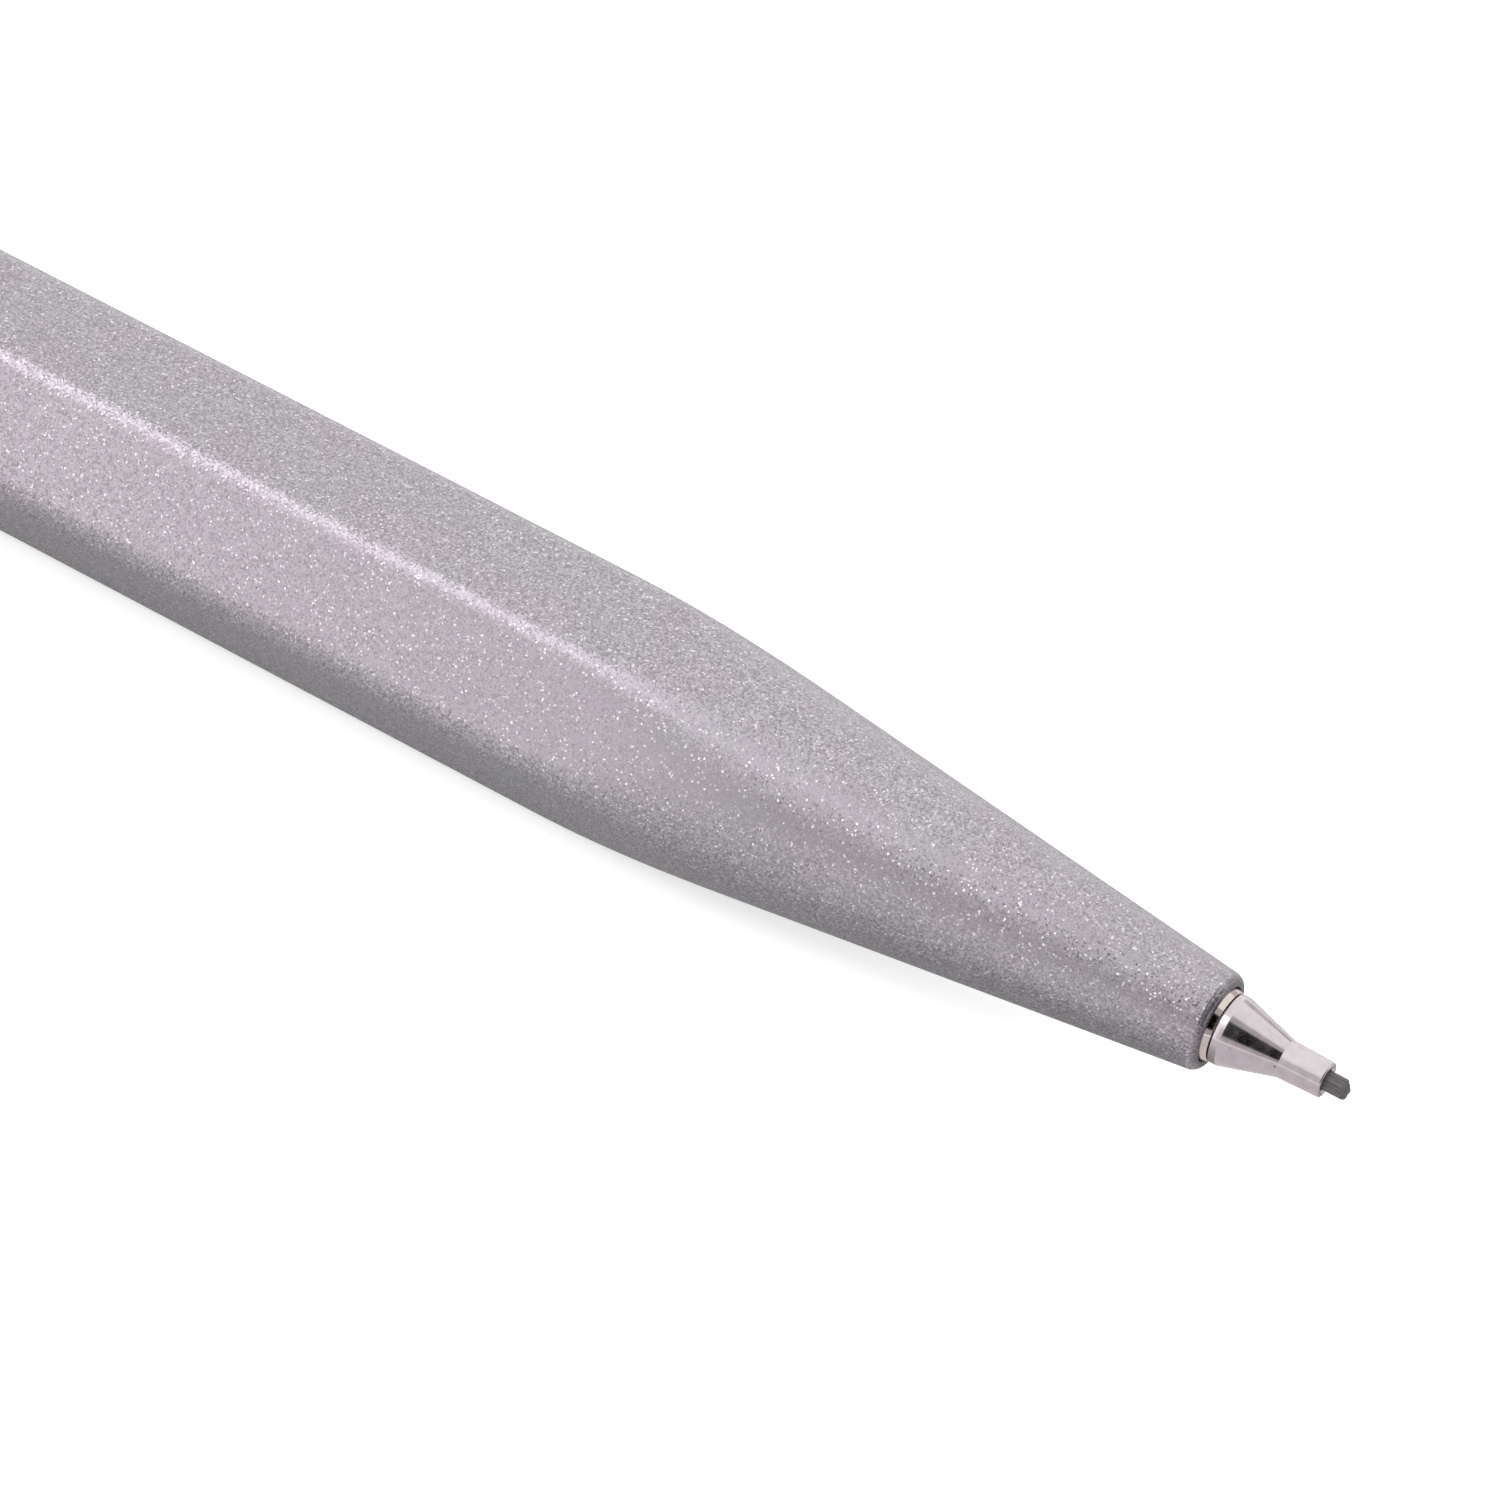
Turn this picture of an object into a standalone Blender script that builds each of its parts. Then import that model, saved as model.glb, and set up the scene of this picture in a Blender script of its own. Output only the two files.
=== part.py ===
"""Slim hexagonal mechanical pencil with a push-button chuck mechanism for 0.7 mm leads.

The pencil lies on one facet of its barrel. Its axis runs along X, with the lead's end at +X and the push
button at -X. The clip is on the top facet. The origin is under the middle of the pencil's length, on the
surface that it lies on. All dimensions below are in millimetres and are turned into metres when the
meshes are made. An x value is a station along the axis, and an r value is a radius about it.
"""

import math

import bmesh
import bpy
from mathutils import Vector

METRES_PER_MM = 0.001

# Whole pencil
LENGTH = 134.0
LEAD_END_X = LENGTH / 2
BUTTON_END_X = -LENGTH / 2
LEAD_DIAMETER = 0.7

# Round pieces
ROUND_STEPS = 32
MERGE_MM = 0.001
ARC_STEPS = 3

# Clearances
PRESS_GAP = 0.03
FACE_GAP = 0.05

# Barrel outside
ACROSS_FLATS = 8.0
APOTHEM = ACROSS_FLATS / 2
CORNER_RADIUS = 1.3
SIDES = 6
SIDE_ANGLE = 2 * math.pi / SIDES
CORNER_STEPS = 4
FLAT_STEPS = 4
BARREL_FRONT_X = 62.2
BARREL_REAR_X = -58.0
CONE_START_X = 43.34
CONE_SLOPE = 0.1205
SHOULDER_BLEND = 0.34
SHOULDER_REAR_X = 36.0
SHOULDER_FRONT_X = 47.0
SHOULDER_STATIONS = 10
MOUTH_ROUNDING = 0.25
REAR_ROUNDING = 0.9
REAR_FACE_RADIUS = 3.6
ROUNDING_STATIONS = 4

# Barrel bore, from the mouth to the rear end
MOUTH_BORE_RADIUS = 1.36
MOUTH_BORE_END_X = 60.5
NECK_BORE_RADIUS = 1.45
SEAT_X = 54.5
SEAT_BORE_RADIUS = 2.05
SEAT_BORE_END_X = 34.0
MAIN_BORE_RADIUS = 3.0
MAIN_BORE_END_X = -47.0
BUSH_BORE_RADIUS = 3.25
CUTTER_OVERRUN = 1.0

# Mechanism body: stepped metal tube, held forward against the barrel's inner seat
BODY_FRONT_X = 62.40
BODY_FRONT_RADIUS = 1.31
BODY_FRONT_END_X = 60.4
BODY_NECK_RADIUS = 1.40
BODY_SHOULDER_X = 54.4
BODY_RADIUS = 1.95
BODY_FLANGE_X = 31.0
BODY_FLANGE_RADIUS = 2.8
BODY_FLANGE_REAR_X = 28.0
BODY_REAR_X = 24.3
BODY_SPIGOT_RADIUS = 2.35
NOSE_SOCKET_RADIUS = 1.0
NOSE_SOCKET_END_X = 59.3
LEAD_GUIDE_RADIUS = 0.5
LEAD_GUIDE_END_X = 53.6
CHUCK_ROOM_X = 52.6
CHUCK_ROOM_RADIUS = 1.42
RING_STOP_X = 48.42
RING_BORE_RADIUS = 1.65

# Mechanism tube: ties the mechanism body to the rear bush
LONG_TUBE_RADIUS = 2.8
LONG_TUBE_BORE_RADIUS = 2.4
LONG_TUBE_FRONT_X = BODY_FLANGE_REAR_X - FACE_GAP
LONG_TUBE_REAR_X = -47.9

# Nose cone with its lead sleeve and its shank
NOSE_TIP_X = 66.22
NOSE_TIP_RADIUS = 0.623
NOSE_TIP_ROUNDING = 0.12
SLEEVE_REAR_X = 64.67
SLEEVE_REAR_RADIUS = 0.665
CONE_FRONT_RADIUS = 0.69
LAND_FRONT_X = 62.72
LAND_RADIUS = 1.235
LAND_REAR_X = 62.44
SHANK_RADIUS = 0.95
SHANK_REAR_X = 59.4
SLEEVE_BORE_RADIUS = 0.375
SLEEVE_BORE_REAR_X = 62.3
RETAINER_POCKET_RADIUS = 0.75
RETAINER_POCKET_X = 61.8

# Lead retainer
RETAINER_FRONT_X = 61.7
RETAINER_REAR_X = 59.7
RETAINER_RADIUS = 0.72
RETAINER_BORE_RADIUS = 0.37

# Leads
LEAD_RADIUS = LEAD_DIAMETER / 2
LEAD_LENGTH = 55.0
LEAD_CHAMFER = 0.07
SPARE_LEAD_LENGTH = 60.0
SPARE_LEAD_FRONT_X = 13.5
SPARE_LEAD_COUNT = 3
SPARE_LEAD_CIRCLE_RADIUS = 1.45
SPARE_LEAD_SPACING = math.radians(32)

# Chuck: stem and jaws
STEM_FRONT_X = 37.95
STEM_REAR_X = 25.1
STEM_RADIUS = 0.85
STEM_BORE_RADIUS = 0.45
JAW_COUNT = 3
JAW_FRONT_X = 48.8
JAW_REAR_X = 38.0
JAW_TAIL_RADIUS = 0.80
JAW_HEAD_RADIUS = 1.15
JAW_HEAD_CHAMFER = 0.2
JAW_HEAD_REAR_X = 47.95
JAW_CONE_REAR_X = 46.2
JAW_GRIP_RADIUS = 0.36
JAW_GRIP_REAR_X = 45.9
JAW_SLIT = 0.16
JAW_HINGE_RADIUS = 0.62
WEDGE_REACH = 4.0
FIRST_JAW_ANGLE = math.radians(90)

# Clutch ring and chuck guide
RING_FRONT_X = 47.4
RING_REAR_X = 45.8
RING_RADIUS = RING_BORE_RADIUS - PRESS_GAP
RING_HOLE_RADIUS = 1.0
RING_FLARE_RADIUS = 1.15
RING_FLARE_X = 47.0
GUIDE_FRONT_X = RING_REAR_X - FACE_GAP
GUIDE_REAR_X = 40.0
GUIDE_HOLE_RADIUS = 1.0

# Chuck connector
CONNECTOR_FRONT_X = 31.1
CONNECTOR_NOSE_RADIUS = 1.5
CONNECTOR_FLANGE_FRONT_X = 20.8
CONNECTOR_FLANGE_REAR_X = 20.0
CONNECTOR_PLUG_RADIUS = 1.80
CONNECTOR_REAR_X = 14.0
CONNECTOR_POCKET_X = 25.0
FUNNEL_REAR_RADIUS = 1.6
FUNNEL_FRONT_X = 17.0

# Chuck spring
SPRING_FRONT_X = 39.85
SPRING_REAR_X = 31.3
SPRING_COIL_RADIUS = 1.25
SPRING_WIRE_RADIUS = 0.15
SPRING_TURNS = 9
SPRING_POINTS_PER_TURN = 12

# Lead tube
LEAD_TUBE_FRONT_X = CONNECTOR_FLANGE_REAR_X - FACE_GAP
LEAD_TUBE_REAR_X = -60.0
LEAD_TUBE_RADIUS = 2.2
LEAD_TUBE_BORE_RADIUS = CONNECTOR_PLUG_RADIUS + FACE_GAP

# Eraser
ERASER_FRONT_X = -54.0
ERASER_REAR_X = -64.5
ERASER_RADIUS = LEAD_TUBE_BORE_RADIUS - PRESS_GAP
ERASER_ROUNDING = 0.4

# Push button
BUTTON_FRONT_X = -54.0
BUTTON_RADIUS = 2.7
BUTTON_BORE_RADIUS = LEAD_TUBE_RADIUS + FACE_GAP
BUTTON_FLOOR_X = -65.5
BUTTON_ROUNDING = 0.7

# Rear bush
BUSH_FLANGE_REAR_X = -59.4
BUSH_FLANGE_FRONT_X = -58.6
BUSH_FLANGE_RADIUS = 3.45
BUSH_FLANGE_ROUNDING = 0.25
BUSH_RADIUS = 3.2
BUSH_FRONT_X = -48.0
BUSH_BORE_BUTTON_RADIUS = 2.78
BUSH_STEP_X = -50.1
BUSH_BORE_TUBE_RADIUS = 2.3

# Clip
CLIP_THICKNESS = 0.5
CLIP_RING_FRONT_X = BARREL_REAR_X - FACE_GAP
CLIP_RING_RADIUS = 3.6
CLIP_RING_HOLE_RADIUS = BUSH_RADIUS + PRESS_GAP
CLIP_ROOT_GAP = 0.03
CLIP_BEND_RADIUS = 0.9
CLIP_SLOPE = math.radians(2.2)
CLIP_FOOT_X = -20.0
CLIP_FOOT_GAP = 0.1
CLIP_FOOT_RADIUS = 3.0
CLIP_TOE_ANGLE = math.radians(28)
CLIP_ROOT_WIDTH = 3.8
CLIP_TOE_WIDTH = 3.0
CLIP_ARM_STATIONS = 8
CLIP_CURVE_STATIONS = 6
CLIP_HINGE_RISE = 0.3

# Colours (linear RGB), roughness and metallic value of each finish
SATIN_PAINT = ((0.46, 0.42, 0.45), 0.38, 0.85)
NICKEL = ((0.72, 0.68, 0.68), 0.16, 1.0)
BRASS = ((0.72, 0.52, 0.22), 0.28, 1.0)
SPRING_STEEL = ((0.55, 0.55, 0.56), 0.30, 1.0)
WHITE_PLASTIC = ((0.78, 0.78, 0.76), 0.50, 0.0)
BLACK_RUBBER = ((0.03, 0.03, 0.03), 0.80, 0.0)
WHITE_RUBBER = ((0.82, 0.81, 0.78), 0.85, 0.0)
GRAPHITE = ((0.10, 0.10, 0.11), 0.45, 0.3)


def clear_scene():
    """Remove whatever the scene holds."""
    for thing in list(bpy.data.objects):
        bpy.data.objects.remove(thing, do_unlink=True)


def new_collection(name):
    """Add a collection to the scene."""
    collection = bpy.data.collections.new(name)
    bpy.context.scene.collection.children.link(collection)
    return collection


def metres(*values):
    """Turn millimetres into a vector in metres."""
    return Vector(values) * METRES_PER_MM


def set_material(thing, finish):
    """Give an object its own Principled material."""
    colour, roughness, metallic = finish
    material = bpy.data.materials.new(thing.name)
    material.use_nodes = True
    shader = material.node_tree.nodes["Principled BSDF"]
    shader.inputs["Base Color"].default_value = (*colour, 1.0)
    shader.inputs["Roughness"].default_value = roughness
    shader.inputs["Metallic"].default_value = metallic
    material.diffuse_color = (*colour, 1.0)
    thing.data.materials.append(material)


def add_object(name, data, collection):
    """Make an object in a collection."""
    thing = bpy.data.objects.new(name, data)
    collection.objects.link(thing)
    return thing


def make_cutter(thing):
    """Mark an object as a cutting tool that isn't part of the pencil."""
    thing.hide_render = True
    thing.display_type = "WIRE"


def lay_along_axis(thing):
    """Turn an object whose own Z is its axis so that it lies on the pencil's axis."""
    thing.rotation_euler = (0.0, math.pi / 2, 0.0)
    thing.location = metres(0.0, 0.0, APOTHEM)


def arc(centre_x, centre_r, radius, start_degrees, end_degrees):
    """Points of an arc in a turned outline. Angles run from +X towards growing radius."""
    points = []
    for step in range(ARC_STEPS + 1):
        angle = math.radians(start_degrees + (end_degrees - start_degrees) * step / ARC_STEPS)
        points.append((centre_x + radius * math.cos(angle), centre_r + radius * math.sin(angle)))
    return points


def turned(name, outline, collection, closed=True):
    """Revolve an outline of (x, r) points about the pencil's axis.

    The outline runs along the outside from the front to the rear, and back through the bore. A closed
    outline makes a tube. An open one starts and ends on the axis.
    """
    points = [metres(r, 0.0, x) for x, r in outline]
    edges = [(i, i + 1) for i in range(len(points) - 1)]
    if closed:
        edges.append((len(points) - 1, 0))
    mesh = bpy.data.meshes.new(name)
    mesh.from_pydata(points, edges, [])
    thing = add_object(name, mesh, collection)
    lay_along_axis(thing)
    screw = thing.modifiers.new("turning", "SCREW")
    screw.axis = "Z"
    screw.angle = 2 * math.pi
    screw.steps = ROUND_STEPS
    screw.render_steps = ROUND_STEPS
    screw.use_merge_vertices = not closed
    screw.merge_threshold = MERGE_MM * METRES_PER_MM
    return thing


def turned_part(name, outline, finish, collection, closed=True):
    """A turned piece with its material."""
    thing = turned(name, outline, collection, closed)
    set_material(thing, finish)
    return thing


def tube_outline(front_x, rear_x, radius, bore_radius):
    """Outline of a plain tube."""
    return [(front_x, radius), (rear_x, radius), (rear_x, bore_radius), (front_x, bore_radius)]


def hexagon_radius(angle):
    """Distance from the axis to the barrel's rounded hexagon. Angle 0 is the middle of the top facet."""
    from_facet = abs((angle + SIDE_ANGLE / 2) % SIDE_ANGLE - SIDE_ANGLE / 2)
    inner_apothem = APOTHEM - CORNER_RADIUS
    if APOTHEM * math.tan(from_facet) <= inner_apothem * math.tan(SIDE_ANGLE / 2):
        return APOTHEM / math.cos(from_facet)
    corner_distance = inner_apothem / math.cos(SIDE_ANGLE / 2)
    from_corner = SIDE_ANGLE / 2 - from_facet
    across = corner_distance * math.sin(from_corner)
    return corner_distance * math.cos(from_corner) + math.sqrt(CORNER_RADIUS**2 - across**2)


def smooth_minimum(a, b):
    """The smaller of two radii, with a soft change from one to the other."""
    overlap = max(SHOULDER_BLEND - abs(a - b), 0.0) / SHOULDER_BLEND
    return min(a, b) - overlap * overlap * SHOULDER_BLEND / 4


def rounded_end(depth, face_radius, rounding):
    """Largest radius at a depth behind an end face whose edge is rounded."""
    inside = max(rounding - depth, 0.0)
    return face_radius + math.sqrt(rounding**2 - inside**2)


def cone_radius(x):
    """Radius of the barrel's turned front end."""
    return APOTHEM - CONE_SLOPE * (x - CONE_START_X)


def barrel_radius(angle, x):
    """Distance from the axis to the barrel's outside."""
    radius = smooth_minimum(hexagon_radius(angle), cone_radius(x))
    if x < BARREL_REAR_X + REAR_ROUNDING:
        radius = min(radius, rounded_end(x - BARREL_REAR_X, REAR_FACE_RADIUS, REAR_ROUNDING))
    if x > BARREL_FRONT_X - MOUTH_ROUNDING:
        face_radius = cone_radius(BARREL_FRONT_X) - MOUTH_ROUNDING
        radius = min(radius, rounded_end(BARREL_FRONT_X - x, face_radius, MOUTH_ROUNDING))
    return radius


def section_angles():
    """Angles of the points of one barrel section: a few on each facet and more round each corner."""
    flat_half = math.atan((1 - CORNER_RADIUS / APOTHEM) * math.tan(SIDE_ANGLE / 2))
    angles = []
    for side in range(SIDES):
        middle = side * SIDE_ANGLE
        for step in range(FLAT_STEPS):
            angles.append(middle - flat_half + 2 * flat_half * step / FLAT_STEPS)
        corner = SIDE_ANGLE - 2 * flat_half
        for step in range(CORNER_STEPS):
            angles.append(middle + flat_half + corner * step / CORNER_STEPS)
    return angles


def rounding_depths(rounding):
    """Depths of the sections through a rounded end edge."""
    turns = [math.pi / 2 * step / ROUNDING_STATIONS for step in range(ROUNDING_STATIONS + 1)]
    return [rounding * (1 - math.cos(turn)) for turn in turns]


def barrel_stations():
    """Stations of the barrel's sections, from the rear end to the mouth."""
    stations = [BARREL_REAR_X + depth for depth in rounding_depths(REAR_ROUNDING)]
    shoulder_length = SHOULDER_FRONT_X - SHOULDER_REAR_X
    for step in range(SHOULDER_STATIONS + 1):
        stations.append(SHOULDER_REAR_X + shoulder_length * step / SHOULDER_STATIONS)
    stations += [BARREL_FRONT_X - depth for depth in reversed(rounding_depths(MOUTH_ROUNDING))]
    return stations


def barrel_bore(cutters):
    """Stepped bore of the barrel, as a cutting tool."""
    outline = [
        (BARREL_FRONT_X + CUTTER_OVERRUN, 0.0),
        (BARREL_FRONT_X + CUTTER_OVERRUN, MOUTH_BORE_RADIUS),
        (MOUTH_BORE_END_X, MOUTH_BORE_RADIUS),
        (MOUTH_BORE_END_X, NECK_BORE_RADIUS),
        (SEAT_X, NECK_BORE_RADIUS),
        (SEAT_X, SEAT_BORE_RADIUS),
        (SEAT_BORE_END_X, SEAT_BORE_RADIUS),
        (SEAT_BORE_END_X, MAIN_BORE_RADIUS),
        (MAIN_BORE_END_X, MAIN_BORE_RADIUS),
        (MAIN_BORE_END_X, BUSH_BORE_RADIUS),
        (BARREL_REAR_X - CUTTER_OVERRUN, BUSH_BORE_RADIUS),
        (BARREL_REAR_X - CUTTER_OVERRUN, 0.0),
    ]
    cutter = turned("barrel_bore", outline, cutters, closed=False)
    make_cutter(cutter)
    return cutter


def make_barrel(pencil, cutters):
    """Hexagonal tube that runs into a turned cone: a loft from hexagonal to round sections."""
    angles = section_angles()
    shell = bmesh.new()
    rings = []
    for x in barrel_stations():
        ring = []
        for angle in angles:
            radius = barrel_radius(angle, x)
            ring.append(shell.verts.new(metres(x, radius * math.sin(angle), radius * math.cos(angle))))
        rings.append(ring)
    for rear, front in zip(rings, rings[1:]):
        for i in range(len(angles)):
            after = (i + 1) % len(angles)
            shell.faces.new((rear[i], rear[after], front[after], front[i]))
    shell.faces.new(rings[0])
    shell.faces.new(rings[-1])
    bmesh.ops.recalc_face_normals(shell, faces=shell.faces)
    mesh = bpy.data.meshes.new("barrel")
    shell.to_mesh(mesh)
    shell.free()
    barrel = add_object("barrel", mesh, pencil)
    barrel.location = metres(0.0, 0.0, APOTHEM)
    bore = barrel.modifiers.new("bore", "BOOLEAN")
    bore.operation = "DIFFERENCE"
    bore.solver = "EXACT"
    bore.object = barrel_bore(cutters)
    set_material(barrel, SATIN_PAINT)


def make_mechanism_body(pencil):
    """Stepped tube with the nose cone's socket, the lead guide, the chuck's room and the ring's stop."""
    outline = [
        (BODY_FRONT_X, BODY_FRONT_RADIUS),
        (BODY_FRONT_END_X, BODY_FRONT_RADIUS),
        (BODY_FRONT_END_X, BODY_NECK_RADIUS),
        (BODY_SHOULDER_X, BODY_NECK_RADIUS),
        (BODY_SHOULDER_X, BODY_RADIUS),
        (BODY_FLANGE_X, BODY_RADIUS),
        (BODY_FLANGE_X, BODY_FLANGE_RADIUS),
        (BODY_FLANGE_REAR_X, BODY_FLANGE_RADIUS),
        (BODY_FLANGE_REAR_X, BODY_SPIGOT_RADIUS),
        (BODY_REAR_X, BODY_SPIGOT_RADIUS),
        (BODY_REAR_X, RING_BORE_RADIUS),
        (RING_STOP_X, RING_BORE_RADIUS),
        (RING_STOP_X, CHUCK_ROOM_RADIUS),
        (CHUCK_ROOM_X, CHUCK_ROOM_RADIUS),
        (LEAD_GUIDE_END_X, LEAD_GUIDE_RADIUS),
        (NOSE_SOCKET_END_X, LEAD_GUIDE_RADIUS),
        (NOSE_SOCKET_END_X, NOSE_SOCKET_RADIUS),
        (BODY_FRONT_X, NOSE_SOCKET_RADIUS),
    ]
    turned_part("mechanism_body", outline, NICKEL, pencil)


def make_mechanism_tube(pencil):
    """Long tube between the mechanism body and the rear bush."""
    outline = tube_outline(LONG_TUBE_FRONT_X, LONG_TUBE_REAR_X, LONG_TUBE_RADIUS, LONG_TUBE_BORE_RADIUS)
    turned_part("mechanism_tube", outline, WHITE_PLASTIC, pencil)


def make_nose_cone(pencil):
    """Cone with the lead sleeve in front and a hollow shank behind."""
    tip_centre_x = NOSE_TIP_X - NOSE_TIP_ROUNDING
    tip_centre_r = NOSE_TIP_RADIUS - NOSE_TIP_ROUNDING
    outline = [(NOSE_TIP_X, SLEEVE_BORE_RADIUS)]
    outline += arc(tip_centre_x, tip_centre_r, NOSE_TIP_ROUNDING, 0, 90)
    outline += [
        (SLEEVE_REAR_X, SLEEVE_REAR_RADIUS),
        (SLEEVE_REAR_X, CONE_FRONT_RADIUS),
        (LAND_FRONT_X, LAND_RADIUS),
        (LAND_REAR_X, LAND_RADIUS),
        (LAND_REAR_X, SHANK_RADIUS),
        (SHANK_REAR_X, SHANK_RADIUS),
        (SHANK_REAR_X, RETAINER_POCKET_RADIUS),
        (RETAINER_POCKET_X, RETAINER_POCKET_RADIUS),
        (SLEEVE_BORE_REAR_X, SLEEVE_BORE_RADIUS),
    ]
    turned_part("nose_cone", outline, NICKEL, pencil)


def make_lead_retainer(pencil):
    """Rubber sleeve that holds the lead while the chuck is open."""
    outline = tube_outline(RETAINER_FRONT_X, RETAINER_REAR_X, RETAINER_RADIUS, RETAINER_BORE_RADIUS)
    turned_part("lead_retainer", outline, BLACK_RUBBER, pencil)


def lead_outline(front_x, length):
    """Outline of a lead with chamfered ends."""
    rear_x = front_x - length
    return [
        (front_x, 0.0),
        (front_x, LEAD_RADIUS - LEAD_CHAMFER),
        (front_x - LEAD_CHAMFER, LEAD_RADIUS),
        (rear_x + LEAD_CHAMFER, LEAD_RADIUS),
        (rear_x, LEAD_RADIUS - LEAD_CHAMFER),
        (rear_x, 0.0),
    ]


def make_lead(pencil):
    """The lead in use."""
    turned_part("lead", lead_outline(LEAD_END_X, LEAD_LENGTH), GRAPHITE, pencil, closed=False)


def make_spare_leads(pencil):
    """Spare leads that lie side by side in the bottom of the lead tube."""
    outline = lead_outline(SPARE_LEAD_FRONT_X, SPARE_LEAD_LENGTH)
    for index in range(SPARE_LEAD_COUNT):
        angle = (index - (SPARE_LEAD_COUNT - 1) / 2) * SPARE_LEAD_SPACING
        spare = turned_part(f"spare_lead_{index + 1}", outline, GRAPHITE, pencil, closed=False)
        sideways = SPARE_LEAD_CIRCLE_RADIUS * math.sin(angle)
        down = SPARE_LEAD_CIRCLE_RADIUS * math.cos(angle)
        spare.location += metres(0.0, sideways, -down)


def make_chuck_stem(pencil):
    """Undivided rear part of the chuck."""
    outline = tube_outline(STEM_FRONT_X, STEM_REAR_X, STEM_RADIUS, STEM_BORE_RADIUS)
    turned_part("chuck_stem", outline, BRASS, pencil)


def jaw_wedge(name, angle, cutters):
    """Prism that keeps one jaw's share of the turned chuck, less half a slit on each side."""
    half_share = math.pi / JAW_COUNT
    apex = JAW_SLIT / 2 / math.sin(half_share)
    side = WEDGE_REACH / math.cos(half_share)
    outline = [
        (apex, 0.0),
        (apex + side * math.cos(half_share), side * math.sin(half_share)),
        (apex + side * math.cos(half_share), -side * math.sin(half_share)),
    ]
    prism = bmesh.new()
    rear = []
    front = []
    for out, across in outline:
        y = out * math.cos(angle) - across * math.sin(angle)
        z = out * math.sin(angle) + across * math.cos(angle)
        rear.append(prism.verts.new(metres(JAW_REAR_X - CUTTER_OVERRUN, y, z)))
        front.append(prism.verts.new(metres(JAW_FRONT_X + CUTTER_OVERRUN, y, z)))
    prism.faces.new(rear)
    prism.faces.new(front)
    for i in range(len(outline)):
        after = (i + 1) % len(outline)
        prism.faces.new((rear[i], rear[after], front[after], front[i]))
    bmesh.ops.recalc_face_normals(prism, faces=prism.faces)
    mesh = bpy.data.meshes.new(name)
    prism.to_mesh(mesh)
    prism.free()
    wedge = add_object(name, mesh, cutters)
    wedge.location = metres(0.0, 0.0, APOTHEM)
    make_cutter(wedge)
    return wedge


def make_chuck_jaws(pencil, cutters):
    """Three fingers, each on an empty at the root where it bends."""
    outline = [
        (JAW_FRONT_X, JAW_HEAD_RADIUS - JAW_HEAD_CHAMFER),
        (JAW_FRONT_X - JAW_HEAD_CHAMFER, JAW_HEAD_RADIUS),
        (JAW_HEAD_REAR_X, JAW_HEAD_RADIUS),
        (JAW_CONE_REAR_X, JAW_TAIL_RADIUS),
        (JAW_REAR_X, JAW_TAIL_RADIUS),
        (JAW_REAR_X, STEM_BORE_RADIUS),
        (JAW_GRIP_REAR_X, STEM_BORE_RADIUS),
        (JAW_GRIP_REAR_X, JAW_GRIP_RADIUS),
        (JAW_FRONT_X, JAW_GRIP_RADIUS),
    ]
    for index in range(JAW_COUNT):
        number = index + 1
        angle = FIRST_JAW_ANGLE + 2 * math.pi * index / JAW_COUNT
        hinge = add_object(f"jaw_root_{number}", None, pencil)
        out_y = JAW_HINGE_RADIUS * math.cos(angle)
        out_z = JAW_HINGE_RADIUS * math.sin(angle)
        hinge.location = metres(JAW_REAR_X, out_y, APOTHEM + out_z)
        jaw = turned_part(f"chuck_jaw_{number}", outline, BRASS, pencil)
        share = jaw.modifiers.new("share", "BOOLEAN")
        share.operation = "INTERSECT"
        share.solver = "EXACT"
        share.object = jaw_wedge(f"jaw_wedge_{number}", angle, cutters)
        jaw.parent = hinge
        jaw.location -= hinge.location


def make_clutch_ring(pencil):
    """Loose ring round the chuck's head."""
    outline = [
        (RING_FRONT_X, RING_RADIUS),
        (RING_REAR_X, RING_RADIUS),
        (RING_REAR_X, RING_HOLE_RADIUS),
        (RING_FLARE_X, RING_HOLE_RADIUS),
        (RING_FRONT_X, RING_FLARE_RADIUS),
    ]
    turned_part("clutch_ring", outline, BRASS, pencil)


def make_chuck_guide(pencil):
    """Sleeve in the mechanism body that seats the clutch ring in front and the spring behind."""
    outline = tube_outline(GUIDE_FRONT_X, GUIDE_REAR_X, RING_RADIUS, GUIDE_HOLE_RADIUS)
    turned_part("chuck_guide", outline, BRASS, pencil)


def make_chuck_connector(pencil):
    """Bush that joins the chuck's stem to the lead tube, with a funnel for the next lead."""
    outline = [
        (CONNECTOR_FRONT_X, CONNECTOR_NOSE_RADIUS),
        (CONNECTOR_FLANGE_FRONT_X, CONNECTOR_NOSE_RADIUS),
        (CONNECTOR_FLANGE_FRONT_X, LEAD_TUBE_RADIUS),
        (CONNECTOR_FLANGE_REAR_X, LEAD_TUBE_RADIUS),
        (CONNECTOR_FLANGE_REAR_X, CONNECTOR_PLUG_RADIUS),
        (CONNECTOR_REAR_X, CONNECTOR_PLUG_RADIUS),
        (CONNECTOR_REAR_X, FUNNEL_REAR_RADIUS),
        (FUNNEL_FRONT_X, STEM_BORE_RADIUS),
        (CONNECTOR_POCKET_X, STEM_BORE_RADIUS),
        (CONNECTOR_POCKET_X, STEM_RADIUS + PRESS_GAP),
        (CONNECTOR_FRONT_X, STEM_RADIUS + PRESS_GAP),
    ]
    turned_part("chuck_connector", outline, BRASS, pencil)


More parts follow.
